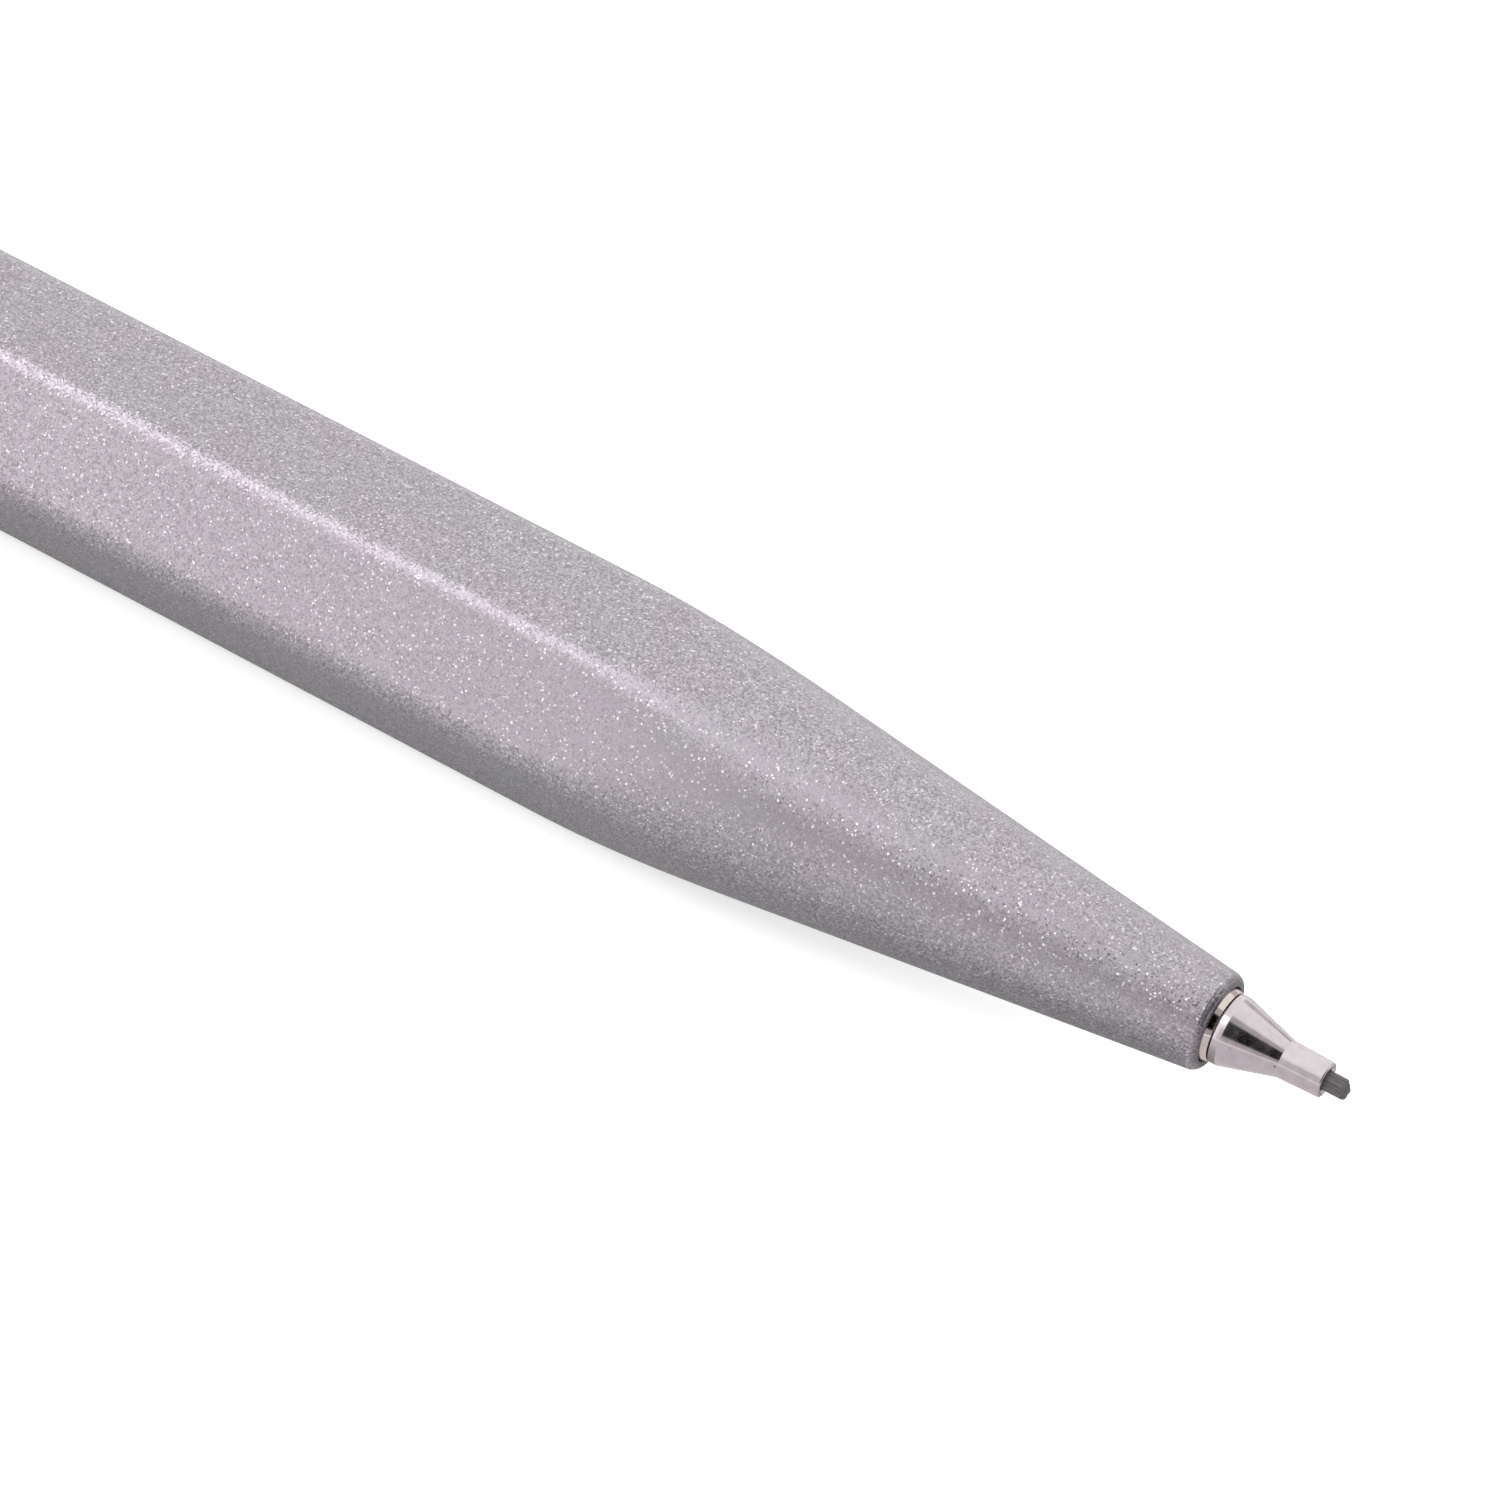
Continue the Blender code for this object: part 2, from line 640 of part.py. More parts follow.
def make_chuck_spring(pencil):
    """Compression spring round the chuck, between the connector and the chuck guide."""
    curve = bpy.data.curves.new("chuck_spring", "CURVE")
    curve.dimensions = "3D"
    curve.bevel_depth = SPRING_WIRE_RADIUS * METRES_PER_MM
    curve.bevel_resolution = 2
    curve.use_fill_caps = True
    count = SPRING_TURNS * SPRING_POINTS_PER_TURN
    spline = curve.splines.new("POLY")
    spline.points.add(count)
    start_x = SPRING_REAR_X + SPRING_WIRE_RADIUS
    travel = SPRING_FRONT_X - SPRING_REAR_X - 2 * SPRING_WIRE_RADIUS
    for i in range(count + 1):
        angle = 2 * math.pi * i / SPRING_POINTS_PER_TURN
        y = SPRING_COIL_RADIUS * math.cos(angle)
        z = SPRING_COIL_RADIUS * math.sin(angle)
        spline.points[i].co = (*metres(start_x + travel * i / count, y, z), 1.0)
    spring = add_object("chuck_spring", curve, pencil)
    spring.location = metres(0.0, 0.0, APOTHEM)
    set_material(spring, SPRING_STEEL)


def make_lead_tube(pencil):
    """Magazine tube for the spare leads. The eraser plugs its rear end."""
    outline = tube_outline(LEAD_TUBE_FRONT_X, LEAD_TUBE_REAR_X, LEAD_TUBE_RADIUS, LEAD_TUBE_BORE_RADIUS)
    turned_part("lead_tube", outline, WHITE_PLASTIC, pencil)


def make_eraser(pencil):
    """Round eraser with a rounded rear edge."""
    outline = [(ERASER_FRONT_X, 0.0), (ERASER_FRONT_X, ERASER_RADIUS)]
    edge_x = ERASER_REAR_X + ERASER_ROUNDING
    outline += arc(edge_x, ERASER_RADIUS - ERASER_ROUNDING, ERASER_ROUNDING, 90, 180)
    outline += [(ERASER_REAR_X, 0.0)]
    turned_part("eraser", outline, WHITE_RUBBER, pencil, closed=False)


def make_push_button(pencil):
    """Cap that slips over the lead tube's rear end and the eraser."""
    outline = [
        (BUTTON_FLOOR_X, 0.0),
        (BUTTON_FLOOR_X, BUTTON_BORE_RADIUS),
        (BUTTON_FRONT_X, BUTTON_BORE_RADIUS),
        (BUTTON_FRONT_X, BUTTON_RADIUS),
    ]
    edge_x = BUTTON_END_X + BUTTON_ROUNDING
    outline += arc(edge_x, BUTTON_RADIUS - BUTTON_ROUNDING, BUTTON_ROUNDING, 90, 180)
    outline += [(BUTTON_END_X, 0.0)]
    turned_part("push_button", outline, NICKEL, pencil, closed=False)


def make_rear_bush(pencil):
    """Flanged bush in the barrel's rear end. It guides the button and holds the clip and the mechanism."""
    outline = [
        (BUSH_FRONT_X, BUSH_RADIUS),
        (BUSH_FLANGE_FRONT_X, BUSH_RADIUS),
        (BUSH_FLANGE_FRONT_X, BUSH_FLANGE_RADIUS),
    ]
    edge_x = BUSH_FLANGE_REAR_X + BUSH_FLANGE_ROUNDING
    outline += arc(edge_x, BUSH_FLANGE_RADIUS - BUSH_FLANGE_ROUNDING, BUSH_FLANGE_ROUNDING, 90, 180)
    outline += [
        (BUSH_FLANGE_REAR_X, BUSH_BORE_BUTTON_RADIUS),
        (BUSH_STEP_X, BUSH_BORE_BUTTON_RADIUS),
        (BUSH_STEP_X, BUSH_BORE_TUBE_RADIUS),
        (BUSH_FRONT_X, BUSH_BORE_TUBE_RADIUS),
    ]
    turned_part("rear_bush", outline, NICKEL, pencil)


def make_clip_ring(pencil):
    """Ring of the clip, held between the barrel's end and the bush's flange."""
    rear_x = CLIP_RING_FRONT_X - CLIP_THICKNESS
    outline = tube_outline(CLIP_RING_FRONT_X, rear_x, CLIP_RING_RADIUS, CLIP_RING_HOLE_RADIUS)
    turned_part("clip_ring", outline, NICKEL, pencil)


def clip_path():
    """Middle line of the clip's arm in the XZ plane: tab, bend, straight arm, foot and toe."""
    tab_x = CLIP_RING_FRONT_X - CLIP_THICKNESS / 2
    foot_z = 2 * APOTHEM + CLIP_FOOT_GAP + CLIP_THICKNESS / 2
    foot_centre_z = foot_z + CLIP_FOOT_RADIUS
    arm_end_x = CLIP_FOOT_X - CLIP_FOOT_RADIUS * math.sin(CLIP_SLOPE)
    arm_end_z = foot_centre_z - CLIP_FOOT_RADIUS * math.cos(CLIP_SLOPE)
    bend_x = tab_x + CLIP_BEND_RADIUS
    arm_start_x = bend_x + CLIP_BEND_RADIUS * math.sin(CLIP_SLOPE)
    arm_start_z = arm_end_z + (arm_end_x - arm_start_x) * math.tan(CLIP_SLOPE)
    bend_z = arm_start_z - CLIP_BEND_RADIUS * math.cos(CLIP_SLOPE)
    points = [(tab_x, APOTHEM + CLIP_RING_RADIUS + CLIP_ROOT_GAP)]
    bend_turn = math.pi / 2 + CLIP_SLOPE
    for step in range(CLIP_CURVE_STATIONS + 1):
        angle = math.pi - bend_turn * step / CLIP_CURVE_STATIONS
        x = bend_x + CLIP_BEND_RADIUS * math.cos(angle)
        z = bend_z + CLIP_BEND_RADIUS * math.sin(angle)
        points.append((x, z))
    for step in range(1, CLIP_ARM_STATIONS):
        part = step / CLIP_ARM_STATIONS
        x = arm_start_x + (arm_end_x - arm_start_x) * part
        z = arm_start_z + (arm_end_z - arm_start_z) * part
        points.append((x, z))
    for step in range(CLIP_CURVE_STATIONS + 1):
        angle = -CLIP_SLOPE + (CLIP_TOE_ANGLE + CLIP_SLOPE) * step / CLIP_CURVE_STATIONS
        x = CLIP_FOOT_X + CLIP_FOOT_RADIUS * math.sin(angle)
        z = foot_centre_z - CLIP_FOOT_RADIUS * math.cos(angle)
        points.append((x, z))
    return points


def make_clip_arm(pencil):
    """Bent spring-metal arm over the top facet. Its origin is at the root, where it flexes."""
    path = clip_path()
    root_x, root_z = path[0]
    hinge = metres(root_x, 0.0, root_z + CLIP_HINGE_RISE)
    toe_x = path[-1][0]
    strip = bmesh.new()
    rows = []
    for x, z in path:
        width = CLIP_ROOT_WIDTH + (CLIP_TOE_WIDTH - CLIP_ROOT_WIDTH) * (x - root_x) / (toe_x - root_x)
        left = strip.verts.new(metres(x, width / 2, z) - hinge)
        right = strip.verts.new(metres(x, -width / 2, z) - hinge)
        rows.append((left, right))
    for rear, front in zip(rows, rows[1:]):
        strip.faces.new((rear[0], rear[1], front[1], front[0]))
    mesh = bpy.data.meshes.new("clip_arm")
    strip.to_mesh(mesh)
    strip.free()
    arm = add_object("clip_arm", mesh, pencil)
    arm.location = hinge
    solid = arm.modifiers.new("sheet", "SOLIDIFY")
    solid.thickness = CLIP_THICKNESS * METRES_PER_MM
    solid.offset = 0.0
    solid.use_even_offset = True
    set_material(arm, NICKEL)


def main():
    """Build the pencil."""
    clear_scene()
    pencil = new_collection("mechanical_pencil")
    cutters = new_collection("cutters")
    make_barrel(pencil, cutters)
    make_mechanism_body(pencil)
    make_mechanism_tube(pencil)
    make_nose_cone(pencil)
    make_lead_retainer(pencil)
    make_lead(pencil)
    make_spare_leads(pencil)
    make_chuck_stem(pencil)
    make_chuck_jaws(pencil, cutters)
    make_clutch_ring(pencil)
    make_chuck_guide(pencil)
    make_chuck_connector(pencil)
    make_chuck_spring(pencil)
    make_lead_tube(pencil)
    make_eraser(pencil)
    make_push_button(pencil)
    make_rear_bush(pencil)
    make_clip_ring(pencil)
    make_clip_arm(pencil)


main()
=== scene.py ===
"""Finished look of the mechanical pencil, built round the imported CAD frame.

Everything is in metres in the frame's own axes: the pencil's axis runs along X, with the lead at +X and
the push button at -X, and the pencil lies on the floor at Z = 0. Lengths written below are in millimetres
and are turned into metres where the meshes are made. Stations come from the CAD nodes' boxes where the
pieces end, and inner steps are named values.
"""

import math

import bmesh
import bpy
from mathutils import Matrix, Vector


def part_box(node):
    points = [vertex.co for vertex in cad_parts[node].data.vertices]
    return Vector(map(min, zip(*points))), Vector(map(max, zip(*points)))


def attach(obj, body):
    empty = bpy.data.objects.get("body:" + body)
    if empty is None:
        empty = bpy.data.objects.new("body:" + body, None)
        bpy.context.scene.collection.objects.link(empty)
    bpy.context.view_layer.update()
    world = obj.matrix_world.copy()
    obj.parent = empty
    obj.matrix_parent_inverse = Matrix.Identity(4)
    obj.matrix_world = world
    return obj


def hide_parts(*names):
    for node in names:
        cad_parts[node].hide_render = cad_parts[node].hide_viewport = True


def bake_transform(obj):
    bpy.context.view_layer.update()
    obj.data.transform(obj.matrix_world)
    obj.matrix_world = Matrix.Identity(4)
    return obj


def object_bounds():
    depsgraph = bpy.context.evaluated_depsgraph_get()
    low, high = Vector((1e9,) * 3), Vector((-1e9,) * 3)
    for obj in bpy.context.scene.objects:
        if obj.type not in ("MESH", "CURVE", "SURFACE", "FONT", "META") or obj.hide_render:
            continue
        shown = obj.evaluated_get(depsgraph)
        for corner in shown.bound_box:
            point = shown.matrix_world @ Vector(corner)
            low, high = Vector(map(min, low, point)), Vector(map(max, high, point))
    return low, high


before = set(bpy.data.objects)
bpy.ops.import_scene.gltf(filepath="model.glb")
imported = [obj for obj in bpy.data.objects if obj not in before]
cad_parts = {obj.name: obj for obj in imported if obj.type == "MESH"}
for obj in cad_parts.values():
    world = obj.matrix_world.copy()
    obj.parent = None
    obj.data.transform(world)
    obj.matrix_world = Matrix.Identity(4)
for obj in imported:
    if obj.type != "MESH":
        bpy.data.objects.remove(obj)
cad_low, cad_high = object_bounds()

MM = 0.001


# ---------------------------------------------------------------- stations from the frame

def front(node):
    """X of a node's front end, in millimetres."""
    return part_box(node)[1].x / MM


def rear(node):
    """X of a node's rear end, in millimetres."""
    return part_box(node)[0].x / MM


AXIS_Z = sum(corner.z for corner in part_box("nose_cone")) / 2 / MM
MOUTH_X = front("barrel")
BARREL_END_X = rear("barrel")


# ---------------------------------------------------------------- mesh helpers

FILLET_TURN = math.radians(15)
FILLET_SHARE = 0.48
SHARP_TURN = math.radians(32)
ON_AXIS = 1e-9


def fillet(before, here, after, radius):
    """Points of a round of that radius on the corner of an outline."""
    back = (before - here).normalized()
    onward = (after - here).normalized()
    inside = back.angle(onward)
    turn = math.pi - inside
    if radius <= 0 or turn < FILLET_TURN / 4:
        return [here]
    room = FILLET_SHARE * min((before - here).length, (after - here).length)
    reach = min(radius / math.tan(inside / 2), room)
    radius = reach * math.tan(inside / 2)
    centre = here + (back + onward).normalized() * radius / math.sin(inside / 2)
    first = (here + back * reach - centre).normalized()
    last = (here + onward * reach - centre).normalized()
    steps = max(2, math.ceil(turn / FILLET_TURN))
    return [centre + first.slerp(last, step / steps) * radius for step in range(steps + 1)]


def rounded_outline(corners, closed):
    """Outline of (x, r) points from corners given as (x, r, fillet radius)."""
    places = [Vector(corner[:2]) for corner in corners]
    outline = []
    for i, here in enumerate(places):
        at_end = i in (0, len(places) - 1)
        if at_end and not closed:
            outline.append(here)
            continue
        outline += fillet(places[i - 1], here, places[(i + 1) % len(places)], corners[i][2])
    return outline


def finish_mesh(name, vertices, faces):
    """Object from vertices in metres, with its faces turned outwards and smooth shading."""
    mesh = bpy.data.meshes.new(name)
    mesh.from_pydata(vertices, [], faces)
    shell = bmesh.new()
    shell.from_mesh(mesh)
    bmesh.ops.recalc_face_normals(shell, faces=shell.faces)
    shell.to_mesh(mesh)
    shell.free()
    mesh.shade_smooth()
    mesh.set_sharp_from_angle(angle=SHARP_TURN)
    thing = bpy.data.objects.new(name, mesh)
    bpy.context.scene.collection.objects.link(thing)
    return thing


def skin(name, rings, closed):
    """Surface over rings of points in millimetres. A closed one joins the last ring to the first."""
    vertices = [Vector(point) * MM for ring in rings for point in ring]
    starts = []
    total = 0
    for ring in rings:
        starts.append(total)
        total += len(ring)
    pairs = list(zip(range(len(rings)), range(1, len(rings))))
    if closed:
        pairs.append((len(rings) - 1, 0))
    faces = []
    for a, b in pairs:
        count = max(len(rings[a]), len(rings[b]))
        for i in range(count):
            j = (i + 1) % count
            if len(rings[a]) == 1:
                faces.append((starts[a], starts[b] + i, starts[b] + j))
            elif len(rings[b]) == 1:
                faces.append((starts[a] + i, starts[b], starts[a] + j))
            else:
                faces.append((starts[a] + i, starts[b] + i, starts[b] + j, starts[a] + j))
    return finish_mesh(name, vertices, faces)


def circle(x, r, steps):
    """Ring of points about the pencil's axis, or one point on it."""
    if r < ON_AXIS:
        return [(x, 0.0, AXIS_Z)]
    turns = [2 * math.pi * i / steps for i in range(steps)]
    return [(x, r * math.sin(turn), AXIS_Z + r * math.cos(turn)) for turn in turns]


def lathe(name, corners, steps):
    """Turned tube from the corners of its outline, from the front along the outside and back inside."""
    outline = rounded_outline(corners, closed=True)
    return skin(name, [circle(x, r, steps) for x, r in outline], closed=True)


def stand_for(piece, node, material):
    """Gives a piece its material and puts it in place of a CAD node."""
    piece.data.materials.append(material)
    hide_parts(node)


def put(piece, body, material, node):
    """Rides a piece on its body, in place of a CAD node, with its material."""
    stand_for(piece, node, material)
    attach(piece, body)


# ---------------------------------------------------------------- material helpers

FLAKE_SIZE = 0.060
FLAKE_TILT = 0.26
FLAKE_SHADES = (0.68, 1.30)
BRIGHT_FLAKE = (0.80, 0.77, 0.80, 1.0)
COOL_TINT = (0.985, 1.01, 1.0, 1.0)
WARM_TINT = (1.015, 0.985, 1.0, 1.0)
# Painted shade: the paint's colour is darkened over the rounded edge of the barrel's mouth, between these
# stations, towards this dark colour.
MOUTH_SHADE_START_X = MOUTH_X - 0.22
MOUTH_SHADE_END_X = MOUTH_X - 0.02
MOUTH_SHADE_STRENGTH = 0.75
MOUTH_SHADE_COLOUR = (0.10, 0.095, 0.095, 1.0)
PIT_SPACING = 0.75
PIT_COLOUR = (0.16, 0.14, 0.14, 1.0)
SMUDGE_COLOUR = (0.50, 0.48, 0.46, 1.0)


class Finish:
    """A Principled material whose inputs come from texture nodes in object coordinates."""

    def __init__(self, name, colour, roughness, metallic):
        self.material = bpy.data.materials.new(name)
        self.material.use_nodes = True
        self.tree = self.material.node_tree
        self.shader = self.tree.nodes["Principled BSDF"]
        self.colour = colour
        self.shader.inputs["Base Color"].default_value = (*colour, 1.0)
        self.shader.inputs["Roughness"].default_value = roughness
        self.shader.inputs["Metallic"].default_value = metallic
        self.place = self.node("ShaderNodeTexCoord").outputs["Object"]

    def node(self, kind, **settings):
        """A new node with its properties set."""
        made = self.tree.nodes.new(kind)
        for key, value in settings.items():
            setattr(made, key, value)
        return made

    def feed(self, socket, value):
        """Gives an input its value: a link from an output socket, or a constant."""
        if isinstance(value, bpy.types.NodeSocket):
            self.tree.links.new(value, socket)
        else:
            socket.default_value = value

    def use(self, socket, value):
        """Links a value to one of the shader's inputs."""
        self.feed(self.shader.inputs[socket], value)

    def vector_math(self, operation, *values):
        """Result of a vector operation on sockets or constants."""
        made = self.node("ShaderNodeVectorMath", operation=operation)
        for socket, value in zip(made.inputs, values):
            self.feed(socket, value)
        return made.outputs["Vector"]

    def stretched(self, along, across):
        """Object coordinates scaled by one factor along the pencil and another across it."""
        return self.vector_math("MULTIPLY", self.place, (along, across, across))

    def split(self, kind, value):
        """The three outputs of a node that takes a colour or a vector apart."""
        made = self.node(kind)
        self.feed(made.inputs[0], value)
        return made.outputs

    def noise(self, size, detail, place=None):
        """Noise whose grains are about size millimetres across."""
        made = self.node("ShaderNodeTexNoise")
        made.inputs["Scale"].default_value = 1 / (size * MM)
        made.inputs["Detail"].default_value = detail
        self.feed(made.inputs["Vector"], place or self.place)
        return made.outputs["Fac"]

    def cells(self, size):
        """Cells about size millimetres across: (distance to the centre, random colour of the cell)."""
        made = self.node("ShaderNodeTexVoronoi")
        made.inputs["Scale"].default_value = 1 / (size * MM)
        self.feed(made.inputs["Vector"], self.place)
        return made.outputs["Distance"], made.outputs["Color"]

    def remap(self, value, low, high, new_low=0.0, new_high=1.0):
        """Value from one range to another, held at the ends."""
        made = self.node("ShaderNodeMapRange", clamp=True)
        self.feed(made.inputs["Value"], value)
        made.inputs["From Min"].default_value = low
        made.inputs["From Max"].default_value = high
        made.inputs["To Min"].default_value = new_low
        made.inputs["To Max"].default_value = new_high
        return made.outputs["Result"]

    def blend(self, factor, a, b, mode="MIX"):
        """Colour mixed from a to b by a factor. Each is a socket or a constant."""
        made = self.node("ShaderNodeMix", data_type="RGBA", blend_type=mode)
        self.feed(made.inputs["Factor"], factor)
        first, second = [socket for socket in made.inputs if socket.type == "RGBA"]
        self.feed(first, a)
        self.feed(second, b)
        return [socket for socket in made.outputs if socket.type == "RGBA"][0]

    def shade(self, factor, dark, light):
        """The finish's colour times a factor that runs from dark to light."""
        return self.blend(factor, self.times(dark), self.times(light))

    def times(self, gain):
        """The finish's colour, brighter or darker."""
        return (*(channel * gain for channel in self.colour), 1.0)

    def bump(self, height, depth, strength, normal=None):
        """Normal bent by a height map whose full range is depth millimetres."""
        made = self.node("ShaderNodeBump")
        made.inputs["Strength"].default_value = strength
        made.inputs["Distance"].default_value = depth * MM
        self.feed(made.inputs["Height"], height)
        if normal is not None:
            self.feed(made.inputs["Normal"], normal)
        return made.outputs["Normal"]


def satin_paint():
    """Silver-grey lacquer with metal flakes that each face their own way, and painted shade that darkens
    the mouth's rounded edge.
    """
    paint = Finish("satin_flake_paint", (0.400, 0.373, 0.404), 0.30, 0.9)
    _, flake = paint.cells(FLAKE_SIZE)
    red, green, blue = paint.split("ShaderNodeSeparateColor", flake)
    centred = paint.vector_math("SUBTRACT", flake, (0.5, 0.5, 0.5))
    tilt = paint.vector_math("MULTIPLY", centred, (FLAKE_TILT, FLAKE_TILT, FLAKE_TILT))
    facing = paint.node("ShaderNodeNewGeometry").outputs["Normal"]
    paint.use("Normal", paint.vector_math("NORMALIZE", paint.vector_math("ADD", facing, tilt)))
    grain = paint.shade(red, *FLAKE_SHADES)
    cloud = paint.remap(paint.noise(2.6, 3.0), 0.3, 0.7)
    toned = paint.blend(1.0, grain, paint.blend(cloud, COOL_TINT, WARM_TINT), "MULTIPLY")
    flecked = paint.blend(paint.remap(green, 0.94, 0.99), toned, BRIGHT_FLAKE)
    x, _, _ = paint.split("ShaderNodeSeparateXYZ", paint.place)
    # Painted shade: the colour darkens towards the mouth's rounded edge.
    mouth_shade = paint.remap(x, MOUTH_SHADE_START_X * MM, MOUTH_SHADE_END_X * MM, 0.0, MOUTH_SHADE_STRENGTH)
    paint.use("Base Color", paint.blend(mouth_shade, flecked, MOUTH_SHADE_COLOUR))
    paint.use("Roughness", paint.remap(blue, 0.0, 1.0, 0.22, 0.36))
    return paint.material


def nickel(name, colour, roughness):
    """Polished nickel plate over turned metal, with fine turning lines and a few pits."""
    plate = Finish(name, colour, roughness, 1.0)
    lines = plate.noise(0.02, 2.0, plate.stretched(1.0, 0.02))
    spots = plate.noise(0.35, 2.0)
    distance, _ = plate.cells(PIT_SPACING)
    pit = plate.remap(distance, 0.03, 0.07, 1.0, 0.0)
    stain = plate.shade(plate.remap(spots, 0.35, 0.7), 0.93, 1.03)
    plate.use("Base Color", plate.blend(pit, stain, PIT_COLOUR))
    plate.use("Roughness", plate.remap(spots, 0.3, 0.7, roughness * 0.8, roughness * 1.25))
    turned_normal = plate.bump(lines, 0.0006, 0.5)
    plate.use("Normal", plate.bump(pit, -0.01, 0.6, turned_normal))
    return plate.material


def graphite():
    """Satin dark grey lead with drawn lines along it."""
    lead = Finish("graphite", (0.088, 0.080, 0.084), 0.42, 0.25)
    lines = lead.noise(0.05, 3.0, lead.stretched(0.06, 1.0))
    grain = lead.noise(0.03, 2.0)
    streak = lead.shade(lead.remap(lines, 0.35, 0.65), 0.62, 1.45)
    lead.use("Base Color", streak)
    lead.use("Roughness", lead.remap(grain, 0.3, 0.7, 0.34, 0.55))
    lined = lead.bump(lines, 0.012, 0.7)
    lead.use("Normal", lead.bump(grain, 0.004, 0.5, lined))
    return lead.material


def brass():
    """Turned brass with fine lathe lines."""
    metal = Finish("turned_brass", (0.74, 0.53, 0.24), 0.26, 1.0)
    lines = metal.noise(0.03, 2.0, metal.stretched(1.0, 0.02))
    patina = metal.noise(0.8, 3.0)
    metal.use("Base Color", metal.shade(metal.remap(patina, 0.3, 0.7), 0.86, 1.05))
    metal.use("Roughness", metal.remap(lines, 0.3, 0.7, 0.18, 0.36))
    metal.use("Normal", metal.bump(lines, 0.001, 0.6))
    return metal.material


def spring_steel():
    """Bright drawn steel wire."""
    wire = Finish("spring_wire", (0.56, 0.56, 0.57), 0.28, 1.0)
    grain = wire.noise(0.06, 2.0)
    wire.use("Base Color", wire.shade(wire.remap(grain, 0.3, 0.7), 0.85, 1.08))
    wire.use("Roughness", wire.remap(grain, 0.3, 0.7, 0.2, 0.38))
    return wire.material


def moulded_plastic():
    """White moulded plastic with a faint texture."""
    plastic = Finish("moulded_plastic", (0.62, 0.62, 0.59), 0.45, 0.0)
    grain = plastic.noise(0.12, 3.0)
    cloud = plastic.noise(3.0, 2.0)
    plastic.use("Base Color", plastic.shade(plastic.remap(cloud, 0.3, 0.7), 0.95, 1.03))
    plastic.use("Roughness", plastic.remap(grain, 0.3, 0.7, 0.38, 0.54))
    plastic.use("Normal", plastic.bump(grain, 0.004, 0.5))
    return plastic.material


def black_rubber():
    """Matt black rubber."""
    rubber = Finish("black_rubber", (0.030, 0.030, 0.032), 0.75, 0.0)
    grain = rubber.noise(0.05, 3.0)
    rubber.use("Base Color", rubber.shade(grain, 0.7, 1.5))
    rubber.use("Normal", rubber.bump(grain, 0.006, 0.6))
    return rubber.material


def eraser_rubber():
    """White eraser with a fine grain."""
    rubber = Finish("eraser_rubber", (0.64, 0.62, 0.585), 0.85, 0.0)
    grain = rubber.noise(0.09, 4.0)
    smudge = rubber.remap(rubber.noise(1.4, 3.0), 0.5, 0.75)
    clean = rubber.shade(grain, 0.94, 1.03)
    rubber.use("Base Color", rubber.blend(smudge, clean, SMUDGE_COLOUR))
    rubber.use("Normal", rubber.bump(grain, 0.015, 0.7))
    return rubber.material


PAINT = satin_paint()
NOSE_NICKEL = nickel("polished_nickel", (0.62, 0.565, 0.585), 0.16)
WARM_NICKEL = nickel("warm_nickel", (0.68, 0.60, 0.56), 0.11)
REAR_NICKEL = nickel("rear_nickel", (0.62, 0.59, 0.60), 0.16)
GRAPHITE = graphite()
BRASS = brass()
SPRING = spring_steel()
PLASTIC = moulded_plastic()
BLACK_RUBBER = black_rubber()
ERASER_RUBBER = eraser_rubber()


# ---------------------------------------------------------------- barrel

APOTHEM = 4.0
CORNER_RADIUS = 1.3
SIDES = 6
SIDE_ANGLE = 2 * math.pi / SIDES
FLAT_POINTS = 14
CORNER_POINTS = 26
CONE_START_X = 43.34
CONE_SLOPE = 0.1205
SHOULDER_BLEND = 0.34
SHOULDER_REAR_X = 34.0
SHOULDER_FRONT_X = 49.0
SHOULDER_STATIONS = 60
CONE_STATIONS = 10
FACET_STATIONS = 12
MOUTH_ROUNDING = 0.25
REAR_ROUNDING = 0.9
REAR_FACE_RADIUS = 3.6
ROUNDING_STATIONS = 10

# Bore, from the mouth to the rear end
MOUTH_CHAMFER_RADIUS = 1.45
MOUTH_BORE_RADIUS = 1.36
MOUTH_BORE_END_X = 60.5
NECK_BORE_RADIUS = 1.45
SEAT_X = 54.5
SEAT_BORE_RADIUS = 2.05
SEAT_BORE_END_X = 34.0
MAIN_BORE_RADIUS = 3.0
MAIN_BORE_END_X = -47.0
BUSH_BORE_RADIUS = 3.25
REAR_CHAMFER_RADIUS = 3.4


def hexagon_radius(angle):
    """Distance from the axis to the rounded hexagon. Angle 0 is the middle of the top facet."""
    from_facet = abs((angle + SIDE_ANGLE / 2) % SIDE_ANGLE - SIDE_ANGLE / 2)
    inner_apothem = APOTHEM - CORNER_RADIUS
    if APOTHEM * math.tan(from_facet) <= inner_apothem * math.tan(SIDE_ANGLE / 2):
        return APOTHEM / math.cos(from_facet)
    corner_distance = inner_apothem / math.cos(SIDE_ANGLE / 2)
    from_corner = SIDE_ANGLE / 2 - from_facet
    across = corner_distance * math.sin(from_corner)
    return corner_distance * math.cos(from_corner) + math.sqrt(CORNER_RADIUS**2 - across**2)


def smooth_minimum(a, b):
    """The smaller of two radii, with a soft change from one to the other."""
    overlap = max(SHOULDER_BLEND - abs(a - b), 0.0) / SHOULDER_BLEND
    return min(a, b) - overlap * overlap * SHOULDER_BLEND / 4


def cone_radius(x):
    """Radius of the barrel's turned front end."""
    return APOTHEM - CONE_SLOPE * (x - CONE_START_X)


def rounded_end(depth, face_radius, rounding):
    """Largest radius at a depth behind an end face whose edge is rounded."""
    inside = max(rounding - depth, 0.0)
    return face_radius + math.sqrt(max(rounding**2 - inside**2, 0.0))


